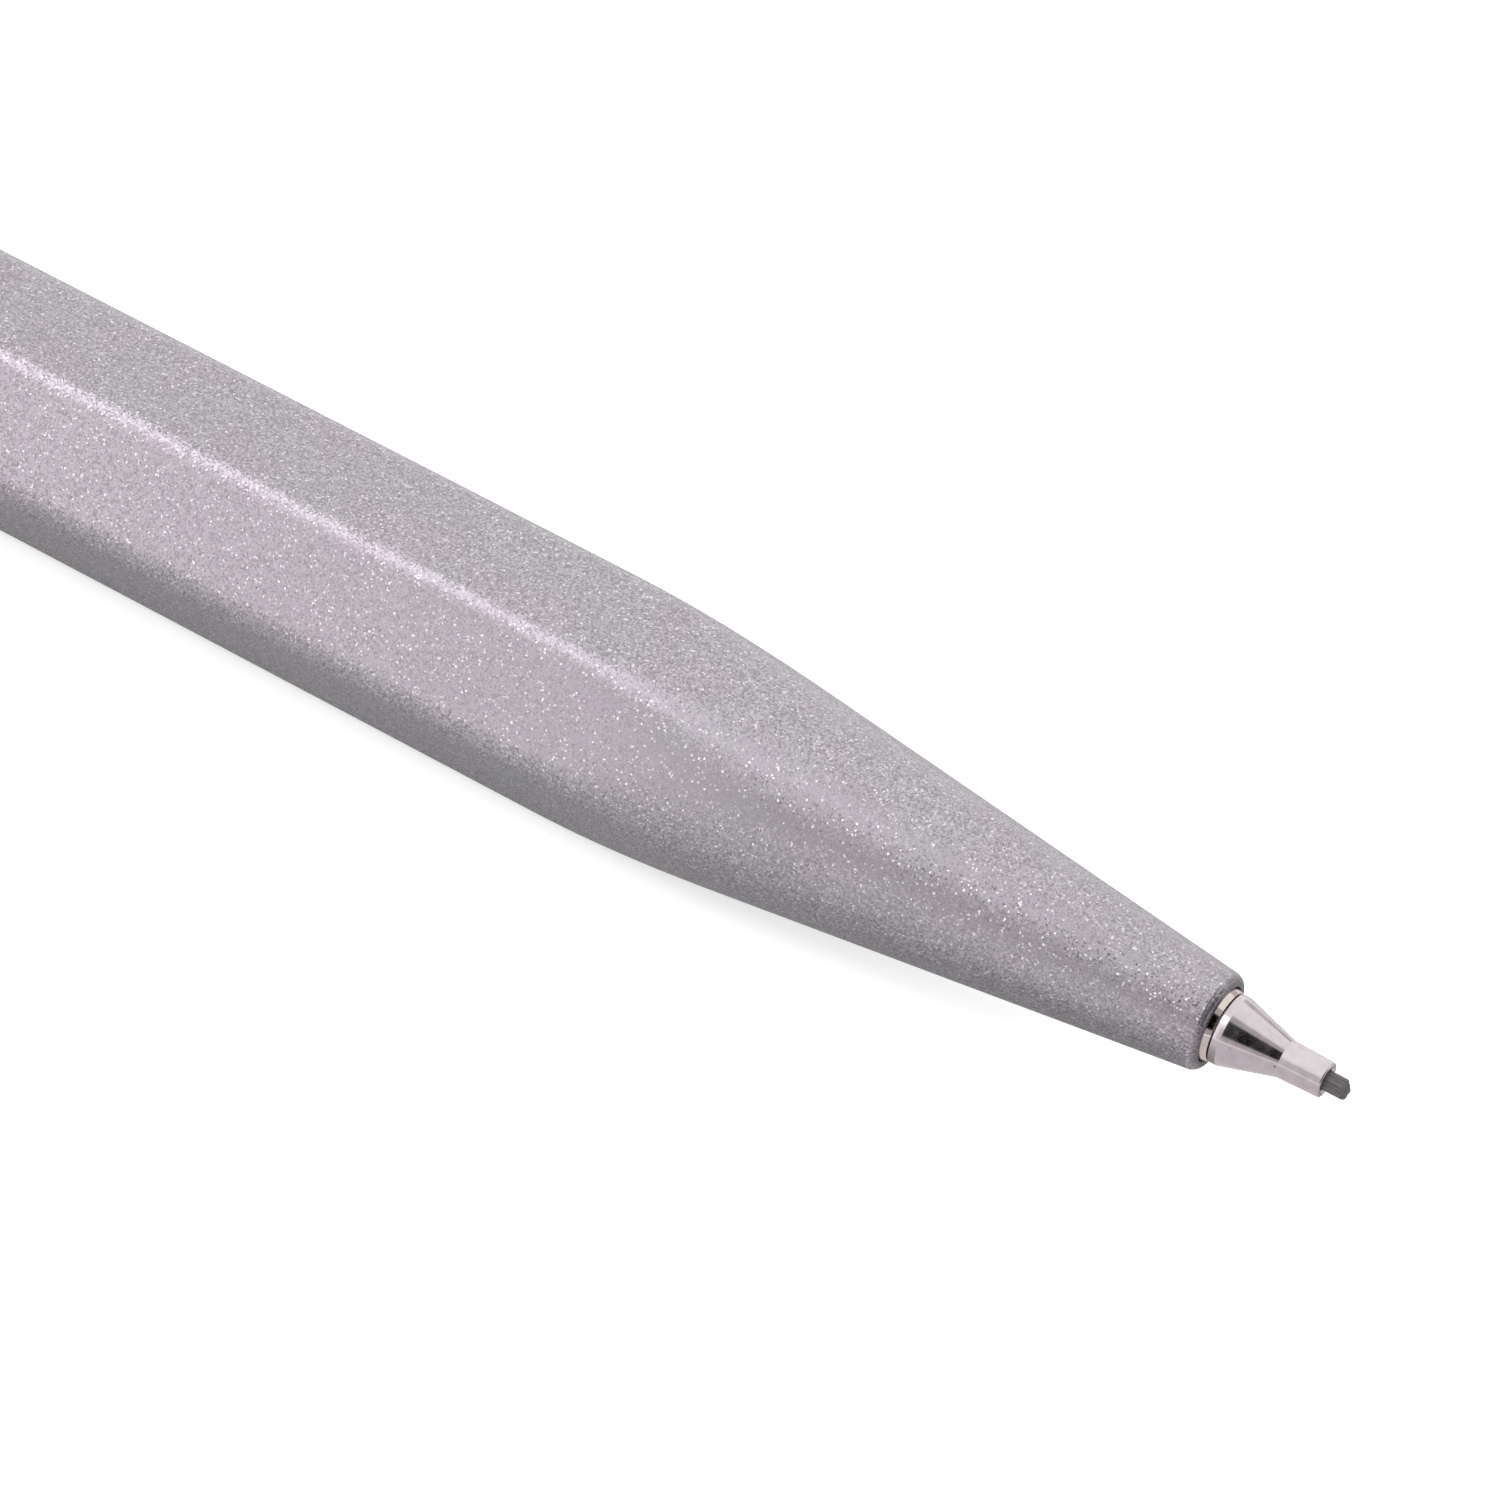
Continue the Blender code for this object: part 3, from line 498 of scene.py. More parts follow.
def barrel_radius(angle, x):
    """Distance from the axis to the barrel's outside."""
    radius = smooth_minimum(hexagon_radius(angle), cone_radius(x))
    if x < BARREL_END_X + REAR_ROUNDING:
        radius = min(radius, rounded_end(x - BARREL_END_X, REAR_FACE_RADIUS, REAR_ROUNDING))
    if x > MOUTH_X - MOUTH_ROUNDING:
        face_radius = cone_radius(MOUTH_X) - MOUTH_ROUNDING
        radius = min(radius, rounded_end(MOUTH_X - x, face_radius, MOUTH_ROUNDING))
    return radius


def section_angles():
    """Angles of a barrel section's points: even steps over each facet and round each corner."""
    flat_half = math.atan((1 - CORNER_RADIUS / APOTHEM) * math.tan(SIDE_ANGLE / 2))
    corner = SIDE_ANGLE - 2 * flat_half
    angles = []
    for side in range(SIDES):
        start = side * SIDE_ANGLE - flat_half
        angles += [start + 2 * flat_half * step / FLAT_POINTS for step in range(FLAT_POINTS)]
        start += 2 * flat_half
        angles += [start + corner * step / CORNER_POINTS for step in range(CORNER_POINTS)]
    return angles


def span(start, end, steps):
    """Even stations from start up to, and without, end."""
    return [start + (end - start) * step / steps for step in range(steps)]


def barrel_stations():
    """Stations of the outside's sections, from the rear end to the mouth."""
    turns = span(0.0, math.pi / 2, ROUNDING_STATIONS)
    stations = [BARREL_END_X + REAR_ROUNDING * (1 - math.cos(turn)) for turn in turns]
    stations += span(BARREL_END_X + REAR_ROUNDING, SHOULDER_REAR_X, FACET_STATIONS)
    stations += span(SHOULDER_REAR_X, SHOULDER_FRONT_X, SHOULDER_STATIONS)
    stations += span(SHOULDER_FRONT_X, MOUTH_X - MOUTH_ROUNDING, CONE_STATIONS)
    stations += [MOUTH_X - MOUTH_ROUNDING * (1 - math.sin(turn)) for turn in turns]
    stations.append(MOUTH_X)
    return stations


def barrel_bore():
    """Outline of the stepped bore, from the mouth back to the rear end."""
    corners = [
        (MOUTH_X, MOUTH_CHAMFER_RADIUS, 0.0),
        (MOUTH_X, MOUTH_BORE_RADIUS, 0.06),
        (MOUTH_BORE_END_X, MOUTH_BORE_RADIUS, 0.02),
        (MOUTH_BORE_END_X, NECK_BORE_RADIUS, 0.02),
        (SEAT_X, NECK_BORE_RADIUS, 0.05),
        (SEAT_X, SEAT_BORE_RADIUS, 0.02),
        (SEAT_BORE_END_X, SEAT_BORE_RADIUS, 0.1),
        (SEAT_BORE_END_X, MAIN_BORE_RADIUS, 0.05),
        (MAIN_BORE_END_X, MAIN_BORE_RADIUS, 0.05),
        (MAIN_BORE_END_X, BUSH_BORE_RADIUS, 0.02),
        (BARREL_END_X, BUSH_BORE_RADIUS, 0.08),
        (BARREL_END_X, REAR_CHAMFER_RADIUS, 0.0),
    ]
    return rounded_outline(corners, closed=False)


def section(x, radii, angles):
    """Ring of points at a station, from the radius at each angle."""
    return [(x, r * math.sin(a), AXIS_Z + r * math.cos(a)) for r, a in zip(radii, angles)]


def make_barrel():
    """Hexagonal tube that runs into a turned cone, with its stepped bore."""
    angles = section_angles()
    rings = []
    for x in barrel_stations():
        rings.append(section(x, [barrel_radius(angle, x) for angle in angles], angles))
    for x, r in barrel_bore():
        rings.append(section(x, [r] * len(angles), angles))
    barrel = skin("painted_barrel", rings, closed=True)
    put(barrel, "barrel_assembly", PAINT, "barrel")


# ---------------------------------------------------------------- front pieces

FINE_STEPS = 128
LEAD_RADIUS = 0.35

# Nose cone, from the lead's end of its sleeve to its threaded shank
SLEEVE_FACE_RADIUS = 0.50
SLEEVE_FRONT_RADIUS = 0.628
SLEEVE_REAR_RADIUS = 0.672
SLEEVE_REAR_X = 64.66
LAND_RADIUS = 1.235
LAND_FRONT_X = 62.72
LAND_REAR_X = 62.44
RELIEF_RADIUS = 0.92
THREAD_FRONT_X = 62.40
THREAD_ROOT_RADIUS = 0.915
THREAD_CREST_RADIUS = 0.95
THREAD_RUN_OUT = 0.04
THREAD_PITCH = 0.25
THREAD_STEPS = 10
SHANK_FACE_RADIUS = 0.90
RETAINER_POCKET_RADIUS = 0.75
RETAINER_POCKET_X = 61.8
SLEEVE_BORE_RADIUS = 0.375
SLEEVE_BORE_REAR_X = 62.3
SLEEVE_BORE_FRONT_X = 64.9
FLARE_RADIUS = 0.43
FLARE_X = 65.3
FLARE_DEPTH = 0.10

# Mechanism body, from the ring in the barrel's mouth to its rear spigot
BODY_RING_FACE_RADIUS = 1.25
BODY_RING_RADIUS = 1.335
BODY_RING_LENGTH = 0.30
BODY_RING_END_X = 60.4
BODY_NECK_RADIUS = 1.40
BODY_SHOULDER_X = 54.4
BODY_RADIUS = 1.95
BODY_FLANGE_X = 31.0
BODY_FLANGE_RADIUS = 2.8
BODY_FLANGE_REAR_X = 28.0
BODY_SPIGOT_RADIUS = 2.35
RING_BORE_RADIUS = 1.65
RING_STOP_X = 48.42
CHUCK_ROOM_RADIUS = 1.42
CHUCK_ROOM_X = 52.6
LEAD_GUIDE_RADIUS = 0.5
LEAD_GUIDE_END_X = 53.6
NOSE_SOCKET_RADIUS = 1.0
NOSE_SOCKET_END_X = 59.3


def thread(front_x, rear_x, root, crest, steps):
    """Rings of a helical thread, from front to rear."""
    count = math.ceil((front_x - rear_x) / THREAD_PITCH * THREAD_STEPS)
    rings = []
    for i in range(count + 1):
        x = front_x + (rear_x - front_x) * i / count
        fade = min(1.0, (front_x - x) / THREAD_PITCH, (x - rear_x) / THREAD_PITCH)
        ring = []
        for step in range(steps):
            turn = 2 * math.pi * step / steps
            wave = 0.5 + 0.5 * math.cos(2 * math.pi * x / THREAD_PITCH - turn)
            r = root + (crest - root) * wave * max(fade, 0.0)
            ring.append((x, r * math.sin(turn), AXIS_Z + r * math.cos(turn)))
        rings.append(ring)
    return rings


def rings_of(corners, steps):
    """Rings over an open outline."""
    return [circle(x, r, steps) for x, r in rounded_outline(corners, closed=False)]


def make_nose_cone():
    """Cone with its lead sleeve in front, and a threaded hollow shank behind."""
    tip = front("nose_cone")
    shank_end = rear("nose_cone")
    outside = [
        (tip, SLEEVE_FACE_RADIUS, 0.0),
        (tip, SLEEVE_FRONT_RADIUS, 0.11),
        (SLEEVE_REAR_X, SLEEVE_REAR_RADIUS, 0.06),
        (LAND_FRONT_X, LAND_RADIUS, 0.04),
        (LAND_REAR_X, LAND_RADIUS, 0.03),
        (LAND_REAR_X, RELIEF_RADIUS, 0.0),
    ]
    inside = [
        (shank_end, SHANK_FACE_RADIUS, 0.0),
        (shank_end, RETAINER_POCKET_RADIUS, 0.03),
        (RETAINER_POCKET_X, RETAINER_POCKET_RADIUS, 0.02),
        (SLEEVE_BORE_REAR_X, SLEEVE_BORE_RADIUS, 0.02),
        (SLEEVE_BORE_FRONT_X, SLEEVE_BORE_RADIUS, 0.1),
        (FLARE_X, FLARE_RADIUS, 0.1),
        (tip - FLARE_DEPTH, FLARE_RADIUS + 0.01, 0.04),
        (tip, SLEEVE_FACE_RADIUS - 0.01, 0.0),
    ]
    thread_end = shank_end + THREAD_RUN_OUT
    rings = rings_of(outside, FINE_STEPS)
    rings += thread(THREAD_FRONT_X, thread_end, THREAD_ROOT_RADIUS, THREAD_CREST_RADIUS, FINE_STEPS)
    rings += rings_of(inside, FINE_STEPS)
    cone = skin("nickel_nose_cone", rings, closed=True)
    put(cone, "nose_cone", NOSE_NICKEL, "nose_cone")


def make_mechanism_body():
    """Stepped tube whose polished front end shows as a ring in the barrel's mouth."""
    face = front("mechanism_body")
    end = rear("mechanism_body")
    corners = [
        (face, BODY_RING_FACE_RADIUS, 0.02),
        (face - BODY_RING_LENGTH, BODY_RING_RADIUS, 0.03),
        (BODY_RING_END_X, BODY_RING_RADIUS, 0.02),
        (BODY_RING_END_X, BODY_NECK_RADIUS, 0.02),
        (BODY_SHOULDER_X, BODY_NECK_RADIUS, 0.03),
        (BODY_SHOULDER_X, BODY_RADIUS, 0.08),
        (BODY_FLANGE_X, BODY_RADIUS, 0.05),
        (BODY_FLANGE_X, BODY_FLANGE_RADIUS, 0.1),
        (BODY_FLANGE_REAR_X, BODY_FLANGE_RADIUS, 0.1),
        (BODY_FLANGE_REAR_X, BODY_SPIGOT_RADIUS, 0.03),
        (end, BODY_SPIGOT_RADIUS, 0.15),
        (end, RING_BORE_RADIUS, 0.1),
        (RING_STOP_X, RING_BORE_RADIUS, 0.02),
        (RING_STOP_X, CHUCK_ROOM_RADIUS, 0.02),
        (CHUCK_ROOM_X, CHUCK_ROOM_RADIUS, 0.1),
        (LEAD_GUIDE_END_X, LEAD_GUIDE_RADIUS, 0.1),
        (NOSE_SOCKET_END_X, LEAD_GUIDE_RADIUS, 0.03),
        (NOSE_SOCKET_END_X, NOSE_SOCKET_RADIUS, 0.02),
        (face, NOSE_SOCKET_RADIUS, 0.04),
    ]
    body = lathe("mechanism_sleeve", corners, steps=FINE_STEPS)
    put(body, "barrel_assembly", WARM_NICKEL, "mechanism_body")


# Flat breaks at the lead's end: the way each faces, and how far it stands out from the tip's middle
BREAK_PLANES = (
    (Vector((0.90, -0.36, 0.24)), 0.0),
    (Vector((0.72, 0.62, 0.30)), 0.10),
    (Vector((0.70, 0.05, 0.71)), 0.13),
    (Vector((0.72, -0.55, -0.42)), 0.16),
    (Vector((0.60, 0.30, -0.74)), 0.20),
)
BREAK_LENGTH = 1.2
FACET_TURN = math.radians(12)
LEAD_CHAMFER = 0.05
LEAD_END_SHARES = (0.97, 0.9, 0.75, 0.5, 0.25)


def make_lead():
    """Drawn lead with a broken, slightly tilted end."""
    steps = 96
    tip = front("lead")
    end = rear("lead")
    stations = span(end, tip - BREAK_LENGTH, 24) + span(tip - BREAK_LENGTH, tip, 48) + [tip]
    rings = [[(end, 0.0, AXIS_Z)]]
    rings.append(circle(end, LEAD_RADIUS - LEAD_CHAMFER, steps))
    rings += [circle(max(x, end + LEAD_CHAMFER), LEAD_RADIUS, steps) for x in stations]
    rings += [circle(tip, LEAD_RADIUS * share, steps) for share in LEAD_END_SHARES]
    rings.append([(tip, 0.0, AXIS_Z)])
    lead = skin("lead_in_use", rings, closed=False)
    break_lead_end(lead, tip)
    lead.data.set_sharp_from_angle(angle=FACET_TURN)
    put(lead, "lead", GRAPHITE, "lead")


def break_lead_end(lead, tip):
    """Cuts the lead's end back to a few tilted planes, as a snapped lead has."""
    pivot = Vector((tip, 0.0, AXIS_Z)) * MM
    for vertex in lead.data.vertices:
        for direction, lift in BREAK_PLANES:
            normal = direction.normalized()
            out = (vertex.co - pivot).dot(normal) - lift * MM
            if out > 0:
                vertex.co.x -= out / normal.x


RETAINER_RADIUS = 0.72
RETAINER_MOUTH_RADIUS = 0.50
RETAINER_BORE_RADIUS = 0.37
RETAINER_FUNNEL_DEPTH = 0.4


def make_lead_retainer():
    """Rubber sleeve in the nose cone's shank."""
    face = front("lead_retainer")
    end = rear("lead_retainer")
    corners = [
        (face, RETAINER_RADIUS, 0.05),
        (end, RETAINER_RADIUS, 0.08),
        (end, RETAINER_MOUTH_RADIUS, 0.05),
        (end + RETAINER_FUNNEL_DEPTH, RETAINER_BORE_RADIUS, 0.1),
        (face, RETAINER_BORE_RADIUS, 0.05),
    ]
    ring = lathe("rubber_lead_retainer", corners, steps=64)
    put(ring, "nose_cone", BLACK_RUBBER, "lead_retainer")


# ---------------------------------------------------------------- turned pieces inside and at the rear

LONG_TUBE_RADIUS = 2.8
LONG_TUBE_BORE_RADIUS = 2.4
CLUTCH_RADIUS = 1.62
CLUTCH_HOLE_RADIUS = 1.0
CLUTCH_FLARE_RADIUS = 1.15
CLUTCH_FLARE_DEPTH = 0.4
STEM_RADIUS = 0.85
STEM_BORE_RADIUS = 0.45
LEAD_TUBE_RADIUS = 2.2
LEAD_TUBE_BORE_RADIUS = 1.85


def turned(name, body, material, node, corners, steps=96):
    """Turned tube in place of a CAD node, from the corners of its closed outline."""
    put(lathe(name, corners, steps=steps), body, material, node)


def tube_corners(node, outside, inside, edge):
    """Corners of a plain tube as long as a node."""
    return [
        (front(node), outside, edge),
        (rear(node), outside, edge),
        (rear(node), inside, edge / 2),
        (front(node), inside, edge / 2),
    ]


def make_mechanism():
    """Tubes, chuck parts and rings inside the barrel."""
    tube = tube_corners("mechanism_tube", LONG_TUBE_RADIUS, LONG_TUBE_BORE_RADIUS, 0.1)
    turned("long_plastic_tube", "barrel_assembly", PLASTIC, "mechanism_tube", tube)
    guide = tube_corners("chuck_guide", CLUTCH_RADIUS, CLUTCH_HOLE_RADIUS, 0.12)
    turned("brass_chuck_guide", "barrel_assembly", BRASS, "chuck_guide", guide)
    ring = [
        (front("clutch_ring"), CLUTCH_RADIUS, 0.12),
        (rear("clutch_ring"), CLUTCH_RADIUS, 0.12),
        (rear("clutch_ring"), CLUTCH_HOLE_RADIUS, 0.08),
        (front("clutch_ring") - CLUTCH_FLARE_DEPTH, CLUTCH_HOLE_RADIUS, 0.05),
        (front("clutch_ring"), CLUTCH_FLARE_RADIUS, 0.04),
    ]
    turned("brass_clutch_ring", "clutch_ring", BRASS, "clutch_ring", ring)
    stem = tube_corners("chuck_stem", STEM_RADIUS, STEM_BORE_RADIUS, 0.08)
    turned("brass_chuck_stem", "plunger", BRASS, "chuck_stem", stem, steps=64)
    lead_tube = tube_corners("lead_tube", LEAD_TUBE_RADIUS, LEAD_TUBE_BORE_RADIUS, 0.1)
    turned("plastic_lead_tube", "plunger", PLASTIC, "lead_tube", lead_tube)


CONNECTOR_NOSE_RADIUS = 1.5
CONNECTOR_FLANGE_FRONT_X = 20.8
CONNECTOR_FLANGE_REAR_X = 20.0
CONNECTOR_PLUG_RADIUS = 1.8
CONNECTOR_POCKET_X = 25.0
CONNECTOR_POCKET_RADIUS = 0.88
FUNNEL_REAR_RADIUS = 1.6
FUNNEL_FRONT_X = 17.0


def make_chuck_connector():
    """Brass plug that joins the chuck's stem to the lead tube, with a funnel for the leads."""
    face = front("chuck_connector")
    end = rear("chuck_connector")
    corners = [
        (face, CONNECTOR_NOSE_RADIUS, 0.15),
        (CONNECTOR_FLANGE_FRONT_X, CONNECTOR_NOSE_RADIUS, 0.03),
        (CONNECTOR_FLANGE_FRONT_X, LEAD_TUBE_RADIUS, 0.08),
        (CONNECTOR_FLANGE_REAR_X, LEAD_TUBE_RADIUS, 0.08),
        (CONNECTOR_FLANGE_REAR_X, CONNECTOR_PLUG_RADIUS, 0.03),
        (end, CONNECTOR_PLUG_RADIUS, 0.12),
        (end, FUNNEL_REAR_RADIUS, 0.05),
        (FUNNEL_FRONT_X, STEM_BORE_RADIUS, 0.1),
        (CONNECTOR_POCKET_X, STEM_BORE_RADIUS, 0.02),
        (CONNECTOR_POCKET_X, CONNECTOR_POCKET_RADIUS, 0.02),
        (face, CONNECTOR_POCKET_RADIUS, 0.08),
    ]
    turned("brass_chuck_connector", "plunger", BRASS, "chuck_connector", corners)


SPRING_TURNS = 9
SPRING_WIRE_RADIUS = 0.15
SPRING_COIL_RADIUS = 1.25
SPRING_POINTS_PER_TURN = 40
SPRING_WIRE_POINTS = 10


def wire_ring(x, turn, lay):
    """Section of the spring's wire at a station, where the coil has turned that far."""
    ring = []
    for step in range(SPRING_WIRE_POINTS):
        angle = 2 * math.pi * step / SPRING_WIRE_POINTS
        out = SPRING_COIL_RADIUS + SPRING_WIRE_RADIUS * math.cos(angle)
        side = SPRING_WIRE_RADIUS * math.sin(angle)
        along = -side * math.sin(lay)
        y = out * math.sin(turn) + along * math.cos(turn)
        z = out * math.cos(turn) - along * math.sin(turn)
        ring.append((x + side * math.cos(lay), y, AXIS_Z + z))
    return ring


def middle(ring):
    """Ring of one point, in the middle of another ring."""
    return [tuple(sum(values) / len(ring) for values in zip(*ring))]


def make_chuck_spring():
    """Coil spring that shortens between the chuck guide and the plunger when the button is pressed."""
    rear_x = rear("chuck_spring") + SPRING_WIRE_RADIUS
    front_x = front("chuck_spring") - SPRING_WIRE_RADIUS
    count = SPRING_TURNS * SPRING_POINTS_PER_TURN
    lay = math.atan((front_x - rear_x) / (2 * math.pi * SPRING_TURNS * SPRING_COIL_RADIUS))
    rings = []
    for i in range(count + 1):
        x = rear_x + (front_x - rear_x) * i / count
        rings.append(wire_ring(x, 2 * math.pi * i / SPRING_POINTS_PER_TURN, lay))
    spring = skin("chuck_coil_spring", [middle(rings[0])] + rings + [middle(rings[-1])], closed=False)
    stand_for(spring, "chuck_spring", SPRING)
    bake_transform(spring)


def make_spare_leads():
    """Leads in store, loose at the bottom of the lead tube."""
    steps = 40
    for number in (1, 2, 3):
        node = f"spare_lead_{number}"
        low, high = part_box(node)
        y = (low.y + high.y) / 2 / MM
        z = (low.z + high.z) / 2 / MM
        outline = rounded_outline([
            (rear(node), 0.0, 0.0),
            (rear(node), LEAD_RADIUS, LEAD_CHAMFER),
            (front(node), LEAD_RADIUS, LEAD_CHAMFER),
            (front(node), 0.0, 0.0),
        ], closed=False)
        rings = []
        for x, r in outline:
            rings.append([(x, y + cy, z + cz - AXIS_Z) for x, cy, cz in circle(x, r, steps)])
        lead = skin(f"stored_lead_{number}", rings, closed=False)
        put(lead, "spare_leads", GRAPHITE, node)


BUSH_RADIUS = 3.2
BUSH_HOLE_RADIUS = 2.3
BUSH_SOCKET_RADIUS = 2.78
BUSH_SOCKET_END_X = -50.1
BUSH_FLANGE_RADIUS = 3.45
BUSH_FLANGE_X = -58.6
BUTTON_RADIUS = 2.7
BUTTON_BORE_RADIUS = 2.25
BUTTON_BORE_END_X = -65.5
BUTTON_END_ROUNDING = 0.7
ERASER_RADIUS = 1.82
ERASER_ROUNDING = 0.4


def make_rear_bush():
    """Metal bush in the barrel's rear end, with a rounded flange."""
    face = front("rear_bush")
    end = rear("rear_bush")
    corners = [
        (face, BUSH_RADIUS, 0.15),
        (BUSH_FLANGE_X, BUSH_RADIUS, 0.02),
        (BUSH_FLANGE_X, BUSH_FLANGE_RADIUS, 0.05),
        (end, BUSH_FLANGE_RADIUS, 0.25),
        (end, BUSH_SOCKET_RADIUS, 0.12),
        (BUSH_SOCKET_END_X, BUSH_SOCKET_RADIUS, 0.02),
        (BUSH_SOCKET_END_X, BUSH_HOLE_RADIUS, 0.02),
        (face, BUSH_HOLE_RADIUS, 0.06),
    ]
    bush = lathe("nickel_rear_bush", corners, steps=FINE_STEPS)
    put(bush, "barrel_assembly", REAR_NICKEL, "rear_bush")


def make_push_button():
    """Hollow metal cap with a rounded end."""
    face = front("push_button")
    end = rear("push_button")
    corners = [
        (end, 0.0, 0.0),
        (end, BUTTON_RADIUS, BUTTON_END_ROUNDING),
        (face, BUTTON_RADIUS, 0.12),
        (face, BUTTON_BORE_RADIUS, 0.05),
        (BUTTON_BORE_END_X, BUTTON_BORE_RADIUS, 0.2),
        (BUTTON_BORE_END_X, 0.0, 0.0),
    ]
    button = skin("nickel_push_button", rings_of(corners, FINE_STEPS), closed=False)
    put(button, "push_button", REAR_NICKEL, "push_button")


def make_eraser():
    """Short eraser in the lead tube's end."""
    corners = [
        (front("eraser"), 0.0, 0.0),
        (front("eraser"), ERASER_RADIUS, 0.1),
        (rear("eraser"), ERASER_RADIUS, ERASER_ROUNDING),
        (rear("eraser"), 0.0, 0.0),
    ]
    eraser = skin("white_eraser", rings_of(corners, 96), closed=False)
    put(eraser, "eraser", ERASER_RUBBER, "eraser")


# ---------------------------------------------------------------- clip

CLIP_THICKNESS = 0.5
CLIP_EDGE = 0.13
CLIP_BEND_RADIUS = 0.9
CLIP_SLOPE = math.radians(2.2)
CLIP_FOOT_X = -20.0
CLIP_FOOT_GAP = 0.1
CLIP_FOOT_RADIUS = 3.0
CLIP_TOE_ANGLE = math.radians(28)
CLIP_ROOT_WIDTH = 3.8
CLIP_TOE_WIDTH = 3.0
CLIP_TOE_LEFT = 0.02
CLIP_EDGE_STEPS = 5
CLIP_RING_RADIUS = 3.6
CLIP_RING_HOLE_RADIUS = 3.23


def clip_path():
    """Middle line of the clip's arm as (x, z, direction angle): tab, bend, arm, foot and toe."""
    tab_x = (front("clip_ring") + rear("clip_ring")) / 2
    foot_centre_z = 2 * APOTHEM + CLIP_FOOT_GAP + CLIP_THICKNESS / 2 + CLIP_FOOT_RADIUS
    arm_end_x = CLIP_FOOT_X - CLIP_FOOT_RADIUS * math.sin(CLIP_SLOPE)
    arm_end_z = foot_centre_z - CLIP_FOOT_RADIUS * math.cos(CLIP_SLOPE)
    bend_x = tab_x + CLIP_BEND_RADIUS
    arm_start_x = bend_x + CLIP_BEND_RADIUS * math.sin(CLIP_SLOPE)
    arm_start_z = arm_end_z + (arm_end_x - arm_start_x) * math.tan(CLIP_SLOPE)
    bend_z = arm_start_z - CLIP_BEND_RADIUS * math.cos(CLIP_SLOPE)
    root_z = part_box("clip_arm")[0].z / MM
    path = [(tab_x, z, math.pi / 2) for z in span(root_z, bend_z, 4)]
    for turn in span(0.0, math.pi / 2 + CLIP_SLOPE, 14):
        x = bend_x - CLIP_BEND_RADIUS * math.cos(turn)
        z = bend_z + CLIP_BEND_RADIUS * math.sin(turn)
        path.append((x, z, math.pi / 2 - turn))
    for x in span(arm_start_x, arm_end_x, 24):
        path.append((x, arm_start_z - (x - arm_start_x) * math.tan(CLIP_SLOPE), -CLIP_SLOPE))
    for turn in span(-CLIP_SLOPE, CLIP_TOE_ANGLE, 40) + [CLIP_TOE_ANGLE]:
        x = CLIP_FOOT_X + CLIP_FOOT_RADIUS * math.sin(turn)
        z = foot_centre_z - CLIP_FOOT_RADIUS * math.cos(turn)
        path.append((x, z, turn))
    return path


def clip_section(width):
    """Rounded rectangle across the clip, as (across, up) points."""
    half = width / 2
    up = CLIP_THICKNESS / 2
    edge = min(CLIP_EDGE, half * 0.9)
    points = []
    for turn in range(4):
        side = 1 if turn in (0, 3) else -1
        face = 1 if turn in (0, 1) else -1
        for step in range(CLIP_EDGE_STEPS + 1):
            angle = math.pi / 2 * (turn + step / CLIP_EDGE_STEPS)
            y = side * (half - edge) + edge * math.cos(angle)
            z = face * (up - edge) + edge * math.sin(angle)
            points.append((y, z))
    return points


def make_clip_arm():
    """Bent spring-metal arm over the top facet, with rounded edges and a rounded toe."""
    path = clip_path()
    root_x, root_z, _ = path[0]
    toe_x, toe_z, _ = path[-1]
    toe_round = CLIP_TOE_WIDTH / 2
    rings = []
    for x, z, heading in path:
        width = CLIP_ROOT_WIDTH + (CLIP_TOE_WIDTH - CLIP_ROOT_WIDTH) * (x - root_x) / (toe_x - root_x)
        left = math.hypot(toe_x - x, toe_z - z)
        if x > CLIP_FOOT_X and left < toe_round:
            short = 1 - max(left, CLIP_TOE_LEFT) / toe_round
            width *= math.sqrt(1 - short * short)
        ring = []
        for y, up in clip_section(width):
            ring.append((x - up * math.sin(heading), y, z + up * math.cos(heading)))
        rings.append(ring)
    root = [(root_x, 0.0, root_z)]
    toe = [(toe_x, 0.0, toe_z)]
    arm = skin("nickel_clip_arm", [root] + rings + [toe], closed=False)
    put(arm, "clip", REAR_NICKEL, "clip_arm")


def make_clip_ring():
    """Ring that holds the clip between the bush's flange and the barrel's end."""
    corners = tube_corners("clip_ring", CLIP_RING_RADIUS, CLIP_RING_HOLE_RADIUS, 0.12)
    ring = lathe("nickel_clip_ring", corners, steps=FINE_STEPS)
    put(ring, "barrel_assembly", REAR_NICKEL, "clip_ring")


# ---------------------------------------------------------------- CAD nodes that stay as they are

def keep_jaws():
    """The chuck's jaws keep their CAD shape, in turned brass."""
    for number in (1, 2, 3):
        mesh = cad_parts[f"chuck_jaw_{number}"].data
        mesh.materials.clear()
        mesh.materials.append(BRASS)


# ---------------------------------------------------------------- floor, light and camera

# The view's, the light's and the cards' distances are in metres.
WORLD_LIGHT = 1.12
FLOOR_SIZE = 6.0
FLOOR_COLOUR = (0.95, 0.95, 0.95, 1.0)
FLOOR_GLOW = 0.5
LENS = 173.4
SENSOR = 36.0
VIEW_TILT = math.asin(0.3233)
VIEW_HEIGHT = math.radians(44)
VIEW_ROLL = math.radians(27.43)
VIEW_DISTANCE = 0.2406
AIM_X = 43.54
AIM_SHIFT = 0.8858
WHITE = (1.0, 1.0, 1.0, 1.0)


def camera_axes():
    """Direction to the camera, and the view's along-pencil and across-pencil directions."""
    towards = Vector((
        math.sin(VIEW_TILT),
        -math.cos(VIEW_TILT) * math.cos(VIEW_HEIGHT),
        math.cos(VIEW_TILT) * math.sin(VIEW_HEIGHT),
    ))
    along = (Vector((1.0, 0.0, 0.0)) - towards * math.sin(VIEW_TILT)).normalized()
    across = along.cross(towards)
    return towards, along, across


